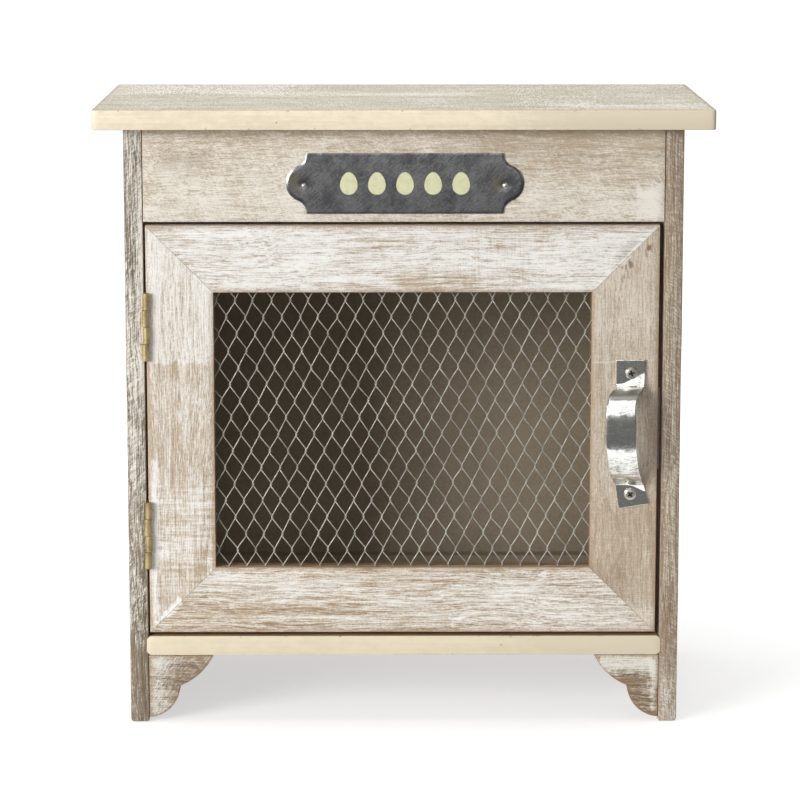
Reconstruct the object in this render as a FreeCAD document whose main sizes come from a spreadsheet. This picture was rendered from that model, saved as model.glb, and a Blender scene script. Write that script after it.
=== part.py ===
import FreeCAD, Part
import math
import os
import re
import Sketcher
from FreeCAD import Vector

# A small egg cupboard: a nailed and dowelled board case on bracketed feet, with a fascia that carries
# a zinc plate, and a mitred door with wire netting that swings on two brass butt hinges at its left.
# The frame: X to the right, Y from the front to the back, Z up, with the origin on the floor under the
# middle of the whole object. All sizes are in millimetres.

doc = FreeCAD.newDocument("EggCupboard")

# Driving sizes
SIZES = {
    # Case boards
    "overall_height": 326,
    "case_width": 290,
    "case_depth": 160,
    "side_thickness": 10,
    "side_foot_round": 2,
    "top_side_overhang": 15,
    "top_thickness": 10.5,
    "top_front_overhang": 12,
    "top_corner_radius": 2.5,
    "top_edge_round": 0.8,
    "bottom_clearance": 36.5,
    "bottom_thickness": 10.5,
    "bottom_end_round": 2.9,
    "housing_depth": 1,
    "fascia_height": 48.5,
    "fascia_thickness": 10,
    "back_thickness": 3,
    "back_inset": 1,
    "cleat_height": 10,
    "cleat_depth": 10,
    # Foot brackets, cut with two lobes that meet in a cusp
    "bracket_width": 34.5,
    "bracket_drop": 34,
    "bracket_cusp_out": 16.5,
    "bracket_cusp_down": 17,
    "bracket_upper_radius": 34,
    "bracket_lower_radius": 17.5,
    "bracket_toe": 0.8,
    "bracket_thickness": 10,
    "bracket_setback": 0.5,
    # Zinc plate on the fascia
    "plate_body_width": 101.5,
    "plate_height": 31.3,
    "plate_thickness": 0.8,
    "plate_tab_length": 10.7,
    "plate_shoulder_radius": 7.2,
    "plate_shift_right": 0.6,
    "plate_drop": 4.1,
    "plate_nail_spacing": 104,
    "plate_nail_drop": 1.2,
    "plate_nail_head": 4,
    "plate_nail_crown": 1.1,
    "plate_nail_shank": 1.4,
    "plate_nail_length": 8,
    # Door frame and its gaps in the case
    "door_gap_hinge": 1,
    "door_gap_latch": 2.2,
    "door_gap_top": 1.8,
    "door_gap_bottom": 2,
    "door_thickness": 12,
    "member_width": 35,
    "lip_thickness": 4,
    "rebate_width": 7,
    "mitre_clip_inset": 17,
    "mitre_clip_leg": 6,
    "mitre_clip_gauge": 0.6,
    "mitre_clip_depth": 8,
    # Netting and the battens that clamp it
    "net_wire": 0.8,
    "net_twist_width": 1.5,
    "net_twist_length": 2.2,
    "net_columns": 18,
    "net_rows": 16,
    "net_cover": 2.5,
    "batten_thickness": 6.5,
    "batten_nail_inset": 5,
    "batten_nail_bite": 2.5,
    "batten_nail_head": 2.2,
    "batten_nail_shank": 1.2,
    # Butt hinges
    "hinge_length": 35.5,
    "hinge_inset": 35,
    "leaf_thickness": 0.6,
    "leaf_gap": 0.6,
    "leaf_width": 10,
    "knuckle_radius": 1.75,
    "knuckle_gap": 0.2,
    "swing_clearance": 0.3,
    "pin_radius": 1,
    "pin_running_clearance": 0.05,
    "hinge_screw_inset": 5.5,
    "hinge_screw_from_end": 8.5,
    "hinge_screw_head": 4.2,
    "hinge_screw_shank": 2.2,
    "hinge_screw_length": 8,
    # Handle, a bent strip that leans towards the middle of the door
    "handle_inset": 14.1,
    "handle_drop": 1.3,
    "handle_projection": 18,
    "handle_lean": 6.5,
    "upper_bend_height": 24.8,
    "upper_bend_radius": 2,
    "shoulder_height": 22.8,
    "shoulder_radius": 9,
    "bow_turn_depth": 4.2,
    "bow_radius": 40,
    "knee_out": 11.3,
    "knee_depth": 18.9,
    "knee_radius": 20,
    "lower_bend_depth": 26.6,
    "lower_bend_radius": 2,
    "strip_width": 15.3,
    "strip_thickness": 1.2,
    "upper_lug_length": 14.2,
    "lower_lug_length": 13.4,
    "lug_splay": 2.1,
    "handle_screw_spacing": 64.3,
    "handle_screw_head": 6.4,
    "handle_screw_crown": 2.2,
    "handle_screw_shank": 3,
    "handle_screw_length": 9,
    # Magnetic catch behind the latch stile
    "catch_ear_height": 44,
    "catch_body_height": 26,
    "catch_depth": 14,
    "catch_base": 4.5,
    "catch_ear_thickness": 2.5,
    "catch_wall": 2,
    "pole_thickness": 1,
    "pole_proud": 1,
    "magnet_thickness": 4,
    "strike_clearance": 0.3,
    "strike_thickness": 1,
    "strike_width": 11,
    "strike_height": 30,
    "strike_inset": 1.5,
    "catch_screw_spacing": 35,
    "catch_screw_head": 5,
    "catch_screw_shank": 2.4,
    "catch_screw_length": 8,
    # Dowels and nails of the case
    "dowel_diameter": 5,
    "dowel_in_top": 6,
    "dowel_in_side": 12,
    "fixing_margin": 24,
    "nail_head": 3,
    "nail_head_height": 0.5,
    "nail_shank": 1.4,
    "nail_length": 24,
    "back_nail_head": 4.2,
    "back_nail_length": 12,
}

sheet = doc.addObject("Spreadsheet::Sheet", "Sizes")
for row, (alias, size) in enumerate(SIZES.items(), start=1):
    sheet.set(f"A{row}", alias)
    sheet.set(f"B{row}", str(size))
    sheet.setAlias(f"B{row}", alias)
doc.recompute()

# Places that follow from the driving sizes, as expressions
FRONT_REACH = "max(top_front_overhang; handle_projection)"
FRONT = f"(({FRONT_REACH} - case_depth - back_thickness - nail_head_height) / 2)"
BACK = f"({FRONT} + case_depth)"
MIDDLE = f"({FRONT} + case_depth / 2)"
SIDE_TOP = "(overall_height - top_thickness)"
TOP_END = "(case_width / 2 + top_side_overhang)"
OUTER = "(case_width / 2)"
INNER = "(case_width / 2 - side_thickness)"
SIDE_CENTRE = "(case_width / 2 - side_thickness / 2)"
FLOOR_TOP = "(bottom_clearance + bottom_thickness)"
FASCIA_BOTTOM = f"({SIDE_TOP} - fascia_height)"
PLATE_Z = f"({FASCIA_BOTTOM} + fascia_height / 2 - plate_drop)"
DOOR_LEFT = f"(-{INNER} + door_gap_hinge)"
DOOR_RIGHT = f"({INNER} - door_gap_latch)"
DOOR_BOTTOM = f"({FLOOR_TOP} + door_gap_bottom)"
DOOR_TOP = f"({FASCIA_BOTTOM} - door_gap_top)"
DOOR_BACK = f"({FRONT} + door_thickness)"
DOOR_MIDDLE = f"(({DOOR_BOTTOM} + {DOOR_TOP}) / 2)"
SIGHT_LEFT = f"({DOOR_LEFT} + member_width)"
SIGHT_RIGHT = f"({DOOR_RIGHT} - member_width)"
SIGHT_BOTTOM = f"({DOOR_BOTTOM} + member_width)"
SIGHT_TOP = f"({DOOR_TOP} - member_width)"
NET_FRONT = f"({FRONT} + lip_thickness)"
BATTEN_FRONT = f"({NET_FRONT} + net_wire)"
BATTEN_BACK = f"({BATTEN_FRONT} + batten_thickness)"
PIN_X = f"(-{INNER} + leaf_thickness + leaf_gap / 2)"
PIN_Y = f"({FRONT} - knuckle_radius - swing_clearance)"
UPPER_HINGE = f"({DOOR_TOP} - hinge_inset - hinge_length)"
LOWER_HINGE = f"({DOOR_BOTTOM} + hinge_inset)"
KNUCKLE_LENGTH = "((hinge_length - 3 * knuckle_gap) / 4)"
HANDLE_X = f"({DOOR_RIGHT} - handle_inset)"
HANDLE_Z = f"({DOOR_MIDDLE} - handle_drop)"
LUG_DEPTH = "(strip_thickness * handle_projection / sqrt(handle_projection ^ 2 + handle_lean ^ 2))"
STACK_WIDTH = "(magnet_thickness + 2 * pole_thickness)"
STACK_RIGHT = f"({INNER} - catch_base)"
POLE_FRONT = f"({DOOR_BACK} + strike_thickness + strike_clearance)"
CATCH_FRONT = f"({POLE_FRONT} + pole_proud)"
CATCH_BACK = f"({CATCH_FRONT} + catch_depth)"
STRIKE_RIGHT = f"({DOOR_RIGHT} - strike_inset)"

nodes = []


def bound(expression):
    """The expression with every size written as a cell of the sheet."""
    return re.sub(
        r"[a-z][a-z_]*",
        lambda word: f"Sizes.{word[0]}" if word[0] in SIZES else word[0],
        expression,
    )


def number(expression):
    """The value that an expression has now."""
    return float(sheet.evalExpression(bound(expression)))


def point(x, y, z):
    return Vector(number(x), number(y), number(z))


def bind(item, **properties):
    """Ties an object's properties to expressions; a double underscore stands for a dot."""
    for name, expression in properties.items():
        item.setExpression(name.replace("__", "."), bound(expression))
    return item


def keep(item):
    """Marks a finished piece: its label names its file."""
    nodes.append(item)
    return item


# Building blocks
def block(label, x_range, y_range, z_range):
    """A plain board or plate between two expressions on each axis."""
    item = doc.addObject("Part::Box", label)
    return bind(
        item,
        Length=f"{x_range[1]} - ({x_range[0]})",
        Width=f"{y_range[1]} - ({y_range[0]})",
        Height=f"{z_range[1]} - ({z_range[0]})",
        Placement__Base__x=x_range[0],
        Placement__Base__y=y_range[0],
        Placement__Base__z=z_range[0],
    )


def upright_rod(label, radius, x, y, z, height):
    item = doc.addObject("Part::Cylinder", label)
    return bind(
        item,
        Radius=radius,
        Height=height,
        Placement__Base__x=x,
        Placement__Base__y=y,
        Placement__Base__z=z,
    )


def cut(label, base, *tools):
    item = doc.addObject("Part::Cut", label)
    item.Base = base
    item.Tool = tools[0] if len(tools) == 1 else together(f"{label}_cutters", tools)
    return item


def together(label, items):
    item = doc.addObject("Part::Compound", label)
    item.Links = list(items)
    return item


def joined(label, *items):
    item = doc.addObject("Part::MultiFuse", label)
    item.Shapes = list(items)
    return item


def shaped(label, shape):
    item = doc.addObject("Part::Feature", label)
    item.Shape = shape
    return item


def closed_sketch(body, plane, level, corners, arcs):
    """A closed outline through corners on an origin plane of the body, raised to a level.

    An edge that is listed in arcs is a minor arc: its radius, and the side of the walk that it bulges to.
    """
    origin_plane = [item for item in body.Origin.OriginFeatures if item.Role == plane][0]
    sketch = body.newObject("Sketcher::SketchObject", f"{body.Name}_outline")
    sketch.AttachmentSupport = [(origin_plane, "")]
    sketch.MapMode = "FlatFace"
    sketch.setExpression("AttachmentOffset.Base.z", bound(f"-({level})" if plane == "XZ_Plane" else level))
    places = [Vector(number(across), number(up), 0) for across, up in corners]
    ends = []
    for index, start in enumerate(places):
        end = places[(index + 1) % len(places)]
        if index in arcs:
            radius, side = arcs[index]
            radius = number(radius)
            chord = end - start
            left = Vector(-chord.y, chord.x, 0).normalize()
            sagitta = radius - (radius ** 2 - chord.Length ** 2 / 4) ** 0.5
            crown = (start + end) / 2 + left * (sagitta if side == "left" else -sagitta)
            edge = sketch.addGeometry(Part.Arc(start, crown, end), False)
        else:
            edge = sketch.addGeometry(Part.LineSegment(start, end), False)
        first = 1 if sketch.getPoint(edge, 1).distanceToPoint(start) < 0.001 else 2
        ends.append((edge, first, 3 - first))
    for index, (edge, first, last) in enumerate(ends):
        following = ends[(index + 1) % len(ends)]
        sketch.addConstraint(Sketcher.Constraint("Coincident", edge, last, following[0], following[1]))
        for kind, axis, expression in zip(("DistanceX", "DistanceY"), "xy", corners[index]):
            value = getattr(places[index], axis)
            name = f"{axis}_{index}"
            place = sketch.addConstraint(Sketcher.Constraint(kind, -1, 1, edge, first, value))
            sketch.renameConstraint(place, name)
            sketch.setExpression(f"Constraints.{name}", bound(expression))
        if index in arcs:
            name = f"radius_{index}"
            bend = sketch.addConstraint(Sketcher.Constraint("Radius", edge, number(arcs[index][0])))
            sketch.renameConstraint(bend, name)
            sketch.setExpression(f"Constraints.{name}", bound(arcs[index][0]))
    return sketch


def sawn(label, plane, level, thickness, corners, arcs=None):
    """A body sawn to an outline: it grows from the level towards +X, +Y or +Z by its thickness."""
    body = doc.addObject("PartDesign::Body", label)
    sketch = closed_sketch(body, plane, level, corners, arcs or {})
    pad = body.newObject("PartDesign::Pad", f"{label}_pad")
    pad.Profile = sketch
    pad.Reversed = plane == "XZ_Plane"
    pad.setExpression("Length", bound(thickness))
    doc.recompute()
    return body


def eased(body, radius, wanted):
    """Rounds the edges of the body's last feature that pass a test on their two ends."""
    last = body.Tip
    chosen = []
    for index, edge in enumerate(last.Shape.Edges, start=1):
        first, second = edge.Vertexes[0].Point, edge.Vertexes[-1].Point
        if wanted(first, second):
            chosen.append(f"Edge{index}")
    fillet = body.newObject("PartDesign::Fillet", f"{body.Name}_round{len(body.Group)}")
    fillet.Base = (last, chosen)
    fillet.setExpression("Radius", bound(radius))
    doc.recompute()
    return body


def same(*values):
    return max(values) - min(values) < 0.001


# Fasteners that show little are many, so they have a few flat sides instead of round ones
FLAT_SIDES = 8


def flat_sided_ring(radius):
    turns = [2 * math.pi * side / FLAT_SIDES for side in range(FLAT_SIDES)]
    return [(radius * math.cos(turn), radius * math.sin(turn)) for turn in turns]


def flat_sided(*sections):
    """A pin about its own Z axis, with flat sides from each (radius, depth) section to the next."""
    rings = []
    for radius, depth in sections:
        corners = [Vector(x, y, depth) for x, y in flat_sided_ring(radius)]
        rings.append(Part.makePolygon(corners + corners[:1]))
    return Part.makeLoft(rings, True, True)


def countersunk_screw(head, shank, length):
    half_head, half_shank = number(head) / 2, number(shank) / 2
    neck = half_head - half_shank
    return flat_sided((half_head, 0), (half_shank, neck), (half_shank, number(length)))


def flat_nail(head, head_height, shank, length):
    half_head, half_shank = number(head) / 2, number(shank) / 2
    under_head = number(head_height)
    disc = flat_sided((half_head, 0), (half_head, under_head))
    wire = flat_sided((half_shank, under_head), (half_shank, number(length)))
    return disc.fuse(wire).removeSplitter().Solids[0]


def round_head(head, crown, shank, length):
    """A fastener whose head is a cap of a ball, seated on the surface at depth 0."""
    half_head, height = number(head) / 2, number(crown)
    half_shank, depth = number(shank) / 2, number(length)
    ball = (half_head ** 2 + height ** 2) / (2 * height)
    half_turn = math.asin(half_head / ball) / 2
    rim = Vector(half_head, 0, 0)
    shoulder = Vector(ball * math.sin(half_turn), 0, ball - height - ball * math.cos(half_turn))
    top = Vector(0, 0, -height)
    neck = Vector(half_shank, 0, 0)
    tip = Vector(half_shank, 0, depth - half_shank)
    end = Vector(0, 0, depth)
    edges = [
        Part.Arc(rim, shoulder, top).toShape(),
        Part.makeLine(top, end),
        Part.makeLine(end, tip),
        Part.makeLine(tip, neck),
        Part.makeLine(neck, rim),
    ]
    return Part.Face(Part.Wire(edges)).revolve(Vector(0, 0, 0), Vector(0, 0, 1), 360)


def driven(label, fastener, places, *directions):
    """Copies of one fastener, driven in at the places; one direction serves for all, or each has its own."""
    copies = []
    for index, place in enumerate(places):
        direction = directions[index % len(directions)]
        copy = fastener.copy()
        copy.Placement = FreeCAD.Placement(place, FreeCAD.Rotation(Vector(0, 0, 1), direction))
        copies.append(copy)
    return keep(shaped(label, Part.makeCompound(copies)))


def spread(start, end, count):
    """Evenly spaced expressions from start to end."""
    return [f"({start} + ({end} - {start}) * {index} / {count - 1})" for index in range(count)]


LEFTWARDS, RIGHTWARDS = Vector(-1, 0, 0), Vector(1, 0, 0)
FORWARDS, BACKWARDS = Vector(0, -1, 0), Vector(0, 1, 0)
DOWNWARDS = Vector(0, 0, -1)

# Fasteners of the case
along_depth = [f"({FRONT} + fixing_margin)", MIDDLE, f"({BACK} - fixing_margin)"]
dowel_length = number("dowel_in_top + dowel_in_side")
dowel_radius = number("dowel_diameter / 2")
top_dowels = driven(
    "top_dowels",
    flat_sided((dowel_radius, 0), (dowel_radius, dowel_length)),
    [
        point(side + SIDE_CENTRE, y, f"{SIDE_TOP} + dowel_in_top")
        for side in ("-", "+")
        for y in along_depth
    ],
    DOWNWARDS,
)

fascia_nail_y = f"({FRONT} + fascia_thickness / 2)"
bottom_nail_z = "(bottom_clearance + bottom_thickness / 2)"
case_nail_spots = [(y, bottom_nail_z) for y in along_depth]
case_nail_spots += [(fascia_nail_y, f"({FASCIA_BOTTOM} + fascia_height * {share} / 4)") for share in (1, 3)]
case_nails = driven(
    "case_nails",
    flat_nail("nail_head", "nail_head_height", "nail_shank", "nail_length"),
    [point(side + OUTER, y, z) for y, z in case_nail_spots for side in ("-", "+")],
    RIGHTWARDS,
    LEFTWARDS,
)

back_face = f"({BACK} + back_thickness + nail_head_height)"
back_nail_rows = spread(f"({FLOOR_TOP} + nail_length / 2)", f"({SIDE_TOP} - nail_length / 2)", 5)
back_nail_spots = [(side + SIDE_CENTRE, z) for side in ("-", "+") for z in back_nail_rows]
cleat_nail_columns = spread(f"(-{INNER} / 2)", f"({INNER} / 2)", 3)
back_nail_spots += [(x, f"({FLOOR_TOP} + cleat_height / 2)") for x in cleat_nail_columns]
back_panel_nails = driven(
    "back_panel_nails",
    flat_nail("back_nail_head", "nail_head_height", "nail_shank", "back_nail_length"),
    [point(x, back_face, z) for x, z in back_nail_spots],
    FORWARDS,
)

# Screws of the hinges: each leaf has two, flush with its inner face
hinge_screw = countersunk_screw("hinge_screw_head", "hinge_screw_shank", "hinge_screw_length")
hinge_screw_y = f"({FRONT} + hinge_screw_inset)"
hinge_screw_rows = [
    f"({hinge} + {offset})"
    for hinge in (UPPER_HINGE, LOWER_HINGE)
    for offset in ("hinge_screw_from_end", "(hinge_length - hinge_screw_from_end)")
]
hinge_frame_screws = driven(
    "hinge_frame_screws",
    hinge_screw,
    [point(f"{PIN_X} - leaf_gap / 2", hinge_screw_y, z) for z in hinge_screw_rows],
    LEFTWARDS,
)
hinge_door_screws = driven(
    "hinge_door_screws",
    hinge_screw,
    [point(f"{PIN_X} + leaf_gap / 2", hinge_screw_y, z) for z in hinge_screw_rows],
    RIGHTWARDS,
)

# Screws of the catch, and of its strike plate on the door
catch_screw = countersunk_screw("catch_screw_head", "catch_screw_shank", "catch_screw_length")
catch_screws = driven(
    "catch_screws",
    catch_screw,
    [
        point(
            f"{INNER} - catch_ear_thickness",
            f"{CATCH_FRONT} + catch_depth / 2",
            f"{HANDLE_Z} + {side} * catch_screw_spacing / 2",
        )
        for side in (-1, 1)
    ],
    RIGHTWARDS,
)
strike_screw = driven(
    "strike_screw",
    catch_screw,
    [point(f"{STRIKE_RIGHT} - strike_width / 2", f"{DOOR_BACK} + strike_thickness", HANDLE_Z)],
    FORWARDS,
)

# Nails of the zinc plate and screws of the handle
plate_face = f"({FRONT} - plate_thickness)"
plate_nail_z = f"({PLATE_Z} - plate_nail_drop)"
name_plate_nails = driven(
    "name_plate_nails",
    round_head("plate_nail_head", "plate_nail_crown", "plate_nail_shank", "plate_nail_length"),
    [
        point(f"plate_shift_right + {side} * plate_nail_spacing / 2", plate_face, plate_nail_z)
        for side in (-1, 1)
    ],
    BACKWARDS,
)
handle_screws = driven(
    "handle_screws",
    round_head("handle_screw_head", "handle_screw_crown", "handle_screw_shank", "handle_screw_length"),
    [
        point(HANDLE_X, f"{FRONT} - {LUG_DEPTH}", f"{HANDLE_Z} + {side} * handle_screw_spacing / 2")
        for side in (-1, 1)
    ],
    BACKWARDS,
)

# Nails of the battens: each goes through a batten and the netting's rim into the lip of the frame
batten_nail_length = "(batten_thickness + net_wire + batten_nail_bite)"
batten_columns = spread(f"({SIGHT_LEFT} + batten_nail_inset)", f"({SIGHT_RIGHT} - batten_nail_inset)", 3)
batten_rows = spread(f"({SIGHT_BOTTOM} + batten_nail_inset)", f"({SIGHT_TOP} - batten_nail_inset)", 2)
batten_spots = [(x, f"({SIGHT_TOP} + batten_nail_inset)") for x in batten_columns]
batten_spots += [(x, f"({SIGHT_BOTTOM} - batten_nail_inset)") for x in batten_columns]
batten_spots += [(f"({SIGHT_LEFT} - batten_nail_inset)", z) for z in batten_rows]
batten_spots += [(f"({SIGHT_RIGHT} + batten_nail_inset)", z) for z in batten_rows]
batten_nails = driven(
    "batten_nails",
    flat_nail("batten_nail_head", "nail_head_height", "batten_nail_shank", batten_nail_length),
    [point(x, BATTEN_BACK, z) for x, z in batten_spots],
    FORWARDS,
)


# Corner clips: thin angles driven into the back of each mitre
def mitre_clip(corner, across, up):
    inset, leg = number("mitre_clip_inset"), number("mitre_clip_leg")
    gauge, depth = number("mitre_clip_gauge"), number("mitre_clip_depth")
    apex = corner + Vector(across * inset, -depth, up * inset)
    outline = [(0, 0), (leg, 0), (leg, gauge), (gauge, gauge), (gauge, leg), (0, leg), (0, 0)]
    wire = Part.makePolygon([apex + Vector(across * x, 0, up * z) for x, z in outline])
    return Part.Face(wire).extrude(Vector(0, depth, 0))


door_corners = [
    (point(x, DOOR_BACK, z), across, up)
    for x, across in ((DOOR_LEFT, 1), (DOOR_RIGHT, -1))
    for z, up in ((DOOR_BOTTOM, 1), (DOOR_TOP, -1))
]
mitre_clips = keep(shaped("mitre_clips", Part.makeCompound([mitre_clip(*corner) for corner in door_corners])))

# Case boards
top_board_blank = sawn(
    "top_board_blank",
    "XY_Plane",
    SIDE_TOP,
    "top_thickness",
    [
        (f"-{TOP_END}", f"{FRONT} - top_front_overhang"),
        (TOP_END, f"{FRONT} - top_front_overhang"),
        (TOP_END, f"{BACK} + back_thickness"),
        (f"-{TOP_END}", f"{BACK} + back_thickness"),
    ],
)
eased(top_board_blank, "top_corner_radius", lambda first, second: not same(first.z, second.z))
board_top = number("overall_height")
eased(top_board_blank, "top_edge_round", lambda first, second: same(first.z, second.z, board_top))
keep(cut("top_board", top_board_blank, top_dowels))

bottom_end = f"({INNER} + housing_depth)"
bottom_board_blank = sawn(
    "bottom_board_blank",
    "XZ_Plane",
    FRONT,
    "case_depth",
    [
        (f"-{bottom_end}", "bottom_clearance"),
        (bottom_end, "bottom_clearance"),
        (bottom_end, FLOOR_TOP),
        (f"-{bottom_end}", FLOOR_TOP),
    ],
)
eased(bottom_board_blank, "bottom_end_round", lambda first, second: not same(first.y, second.y))
keep(cut("bottom_board", bottom_board_blank, case_nails))

fascia_blank = block("fascia_blank", (f"-{INNER}", INNER), (FRONT, f"{FRONT} + fascia_thickness"),
                     (FASCIA_BOTTOM, SIDE_TOP))
keep(cut("fascia_board", fascia_blank, case_nails, name_plate_nails))

back_edge = f"({OUTER} - back_inset)"
back_blank = block("back_blank", (f"-{back_edge}", back_edge), (BACK, f"{BACK} + back_thickness"),
                   ("bottom_clearance", SIDE_TOP))
keep(cut("back_panel", back_blank, back_panel_nails))

cleat_blank = block("cleat_blank", (f"-{INNER}", INNER), (f"{BACK} - cleat_depth", BACK),
                    (FLOOR_TOP, f"{FLOOR_TOP} + cleat_height"))
keep(cut("rear_cleat", cleat_blank, back_panel_nails))


def side_panel(label, start, outside, *extra_cutters):
    """A side board: its outer foot edge is rounded, and the bottom board is let into its inner face."""
    body = sawn(
        f"{label}_blank",
        "YZ_Plane",
        start,
        "side_thickness",
        [(FRONT, "0"), (BACK, "0"), (BACK, SIDE_TOP), (FRONT, SIDE_TOP)],
    )
    face = number(outside)

    def outer_foot_edge(first, second):
        return same(first.x, second.x, face) and same(first.z, second.z, 0)

    eased(body, "side_foot_round", outer_foot_edge)
    cutters = (bottom_board_blank, top_dowels, case_nails, back_panel_nails, *extra_cutters)
    return keep(cut(label, body, *cutters))


side_panel("left_side_panel", f"-{OUTER}", f"-{OUTER}", hinge_frame_screws)
side_panel("right_side_panel", INNER, OUTER, catch_screws)


# Foot brackets, mirrored about the middle
def foot_bracket(label, side, bulge):
    def across(distance):
        return f"{side}({INNER} - ({distance}))"

    underside = "bottom_clearance"
    corners = [
        (across("0"), underside),
        (across("bracket_width"), underside),
        (across("bracket_cusp_out"), f"{underside} - bracket_cusp_down"),
        (across("bracket_toe"), f"{underside} - bracket_drop"),
        (across("0"), f"{underside} - bracket_drop"),
    ]
    lobes = {1: ("bracket_upper_radius", bulge), 2: ("bracket_lower_radius", bulge)}
    return keep(sawn(label, "XZ_Plane", f"{FRONT} + bracket_setback", "bracket_thickness", corners, lobes))


foot_bracket("left_foot_bracket", "-", "left")
foot_bracket("right_foot_bracket", "", "right")

# Zinc plate: each end sweeps from a hollow shoulder into a round tab
half_body = "plate_body_width / 2"
half_height = "plate_height / 2"
slope = "(2 * plate_tab_length / plate_height)"
sweep_out = f"(plate_shoulder_radius * 2 * {slope} ^ 2 / (1 + {slope} ^ 2))"
sweep_down = f"(plate_shoulder_radius * 2 * {slope} / (1 + {slope} ^ 2))"
tab_radius = f"({half_height} * (1 + {slope} ^ 2) / (2 * {slope}) - plate_shoulder_radius)"


def plate_corner(side, up, out, down):
    return (
        f"plate_shift_right {side} ({half_body} + {out})",
        f"{PLATE_Z} {up} ({half_height} - {down})",
    )


name_plate_blank = sawn(
    "name_plate_blank",
    "XZ_Plane",
    plate_face,
    "plate_thickness",
    [
        plate_corner("-", "-", "0", "0"),
        plate_corner("+", "-", "0", "0"),
        plate_corner("+", "-", sweep_out, sweep_down),
        plate_corner("+", "+", sweep_out, sweep_down),
        plate_corner("+", "+", "0", "0"),
        plate_corner("-", "+", "0", "0"),
        plate_corner("-", "+", sweep_out, sweep_down),
        plate_corner("-", "-", sweep_out, sweep_down),
    ],
    {
        1: ("plate_shoulder_radius", "left"),
        2: (tab_radius, "right"),
        3: ("plate_shoulder_radius", "left"),
        5: ("plate_shoulder_radius", "left"),
        6: (tab_radius, "right"),
        7: ("plate_shoulder_radius", "left"),
    },
)
keep(cut("name_plate", name_plate_blank, name_plate_nails))

# Door frame: four mitred members, rebated at the back for the netting and its battens
rebate = block(
    "rebate",
    (f"{SIGHT_LEFT} - rebate_width", f"{SIGHT_RIGHT} + rebate_width"),
    (NET_FRONT, DOOR_BACK),
    (f"{SIGHT_BOTTOM} - rebate_width", f"{SIGHT_TOP} + rebate_width"),
)


def door_member(label, corners, *cutters):
    blank = sawn(f"{label}_blank", "XZ_Plane", FRONT, "door_thickness", corners)
    return keep(cut(label, blank, rebate, mitre_clips, batten_nails, *cutters))


def leaf_seat(label, hinge):
    """The shallow recess in the edge of the door that takes a hinge leaf."""
    return block(label, (PIN_X, f"{PIN_X} + leaf_gap / 2 + leaf_thickness"),
                 (FRONT, f"{FRONT} + leaf_width"), (hinge, f"{hinge} + hinge_length"))


outer_bl, outer_br = (DOOR_LEFT, DOOR_BOTTOM), (DOOR_RIGHT, DOOR_BOTTOM)
outer_tl, outer_tr = (DOOR_LEFT, DOOR_TOP), (DOOR_RIGHT, DOOR_TOP)
sight_bl, sight_br = (SIGHT_LEFT, SIGHT_BOTTOM), (SIGHT_RIGHT, SIGHT_BOTTOM)
sight_tl, sight_tr = (SIGHT_LEFT, SIGHT_TOP), (SIGHT_RIGHT, SIGHT_TOP)
upper_seat = leaf_seat("upper_leaf_seat", UPPER_HINGE)
lower_seat = leaf_seat("lower_leaf_seat", LOWER_HINGE)
door_member("door_bottom_rail", [outer_bl, outer_br, sight_br, sight_bl])
door_member("door_top_rail", [outer_tr, outer_tl, sight_tl, sight_tr])
hinge_cutters = (upper_seat, lower_seat, hinge_door_screws)
door_member("door_left_stile", [outer_tl, outer_bl, sight_bl, sight_tl], *hinge_cutters)
door_member("door_right_stile", [outer_br, outer_tr, sight_tr, sight_br], handle_screws, strike_screw)

# Battens that clamp the netting into the rebate
long_run = (f"{SIGHT_LEFT} - rebate_width", f"{SIGHT_RIGHT} + rebate_width")
batten_depth = (BATTEN_FRONT, BATTEN_BACK)
batten_places = {
    "netting_batten_top": (long_run, (SIGHT_TOP, f"{SIGHT_TOP} + rebate_width")),
    "netting_batten_bottom": (long_run, (f"{SIGHT_BOTTOM} - rebate_width", SIGHT_BOTTOM)),
    "netting_batten_left": ((f"{SIGHT_LEFT} - rebate_width", SIGHT_LEFT), (SIGHT_BOTTOM, SIGHT_TOP)),
    "netting_batten_right": ((SIGHT_RIGHT, f"{SIGHT_RIGHT} + rebate_width"), (SIGHT_BOTTOM, SIGHT_TOP)),
}
for batten, (x_range, z_range) in batten_places.items():
    keep(cut(batten, block(f"{batten}_blank", x_range, batten_depth, z_range), batten_nails))


# Wire netting: a thin sheet with staggered six-sided gaps, each between two twists and four bare wires
def net_gap(centre_x, centre_z, pitch, row_pitch):
    half_twist = number("net_twist_length / 2")
    side = pitch / 2 - number("net_twist_width / 2")
    tip = row_pitch - half_twist - number("net_wire")
    right_side = [(0, -tip), (side, -half_twist), (side, half_twist)]
    left_side = [(-x, -z) for x, z in right_side]
    return [(centre_x + x, centre_z + z) for x, z in right_side + left_side]


def trimmed(outline, axis, limit, sign):
    """The part of a convex outline that lies on one side of a limit."""
    kept = []
    for index, here in enumerate(outline):
        before = outline[index - 1]
        gap_here, gap_before = sign * (limit - here[axis]), sign * (limit - before[axis])
        if (gap_here > 0) != (gap_before > 0):
            share = gap_before / (gap_before - gap_here)
            kept.append(tuple(b + (h - b) * share for b, h in zip(before, here)))
        if gap_here > 0:
            kept.append(here)
    return kept


def upright_loop(outline, y):
    corners = [Vector(x, y, z) for x, z in outline]
    return Part.makePolygon(corners + corners[:1])


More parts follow.
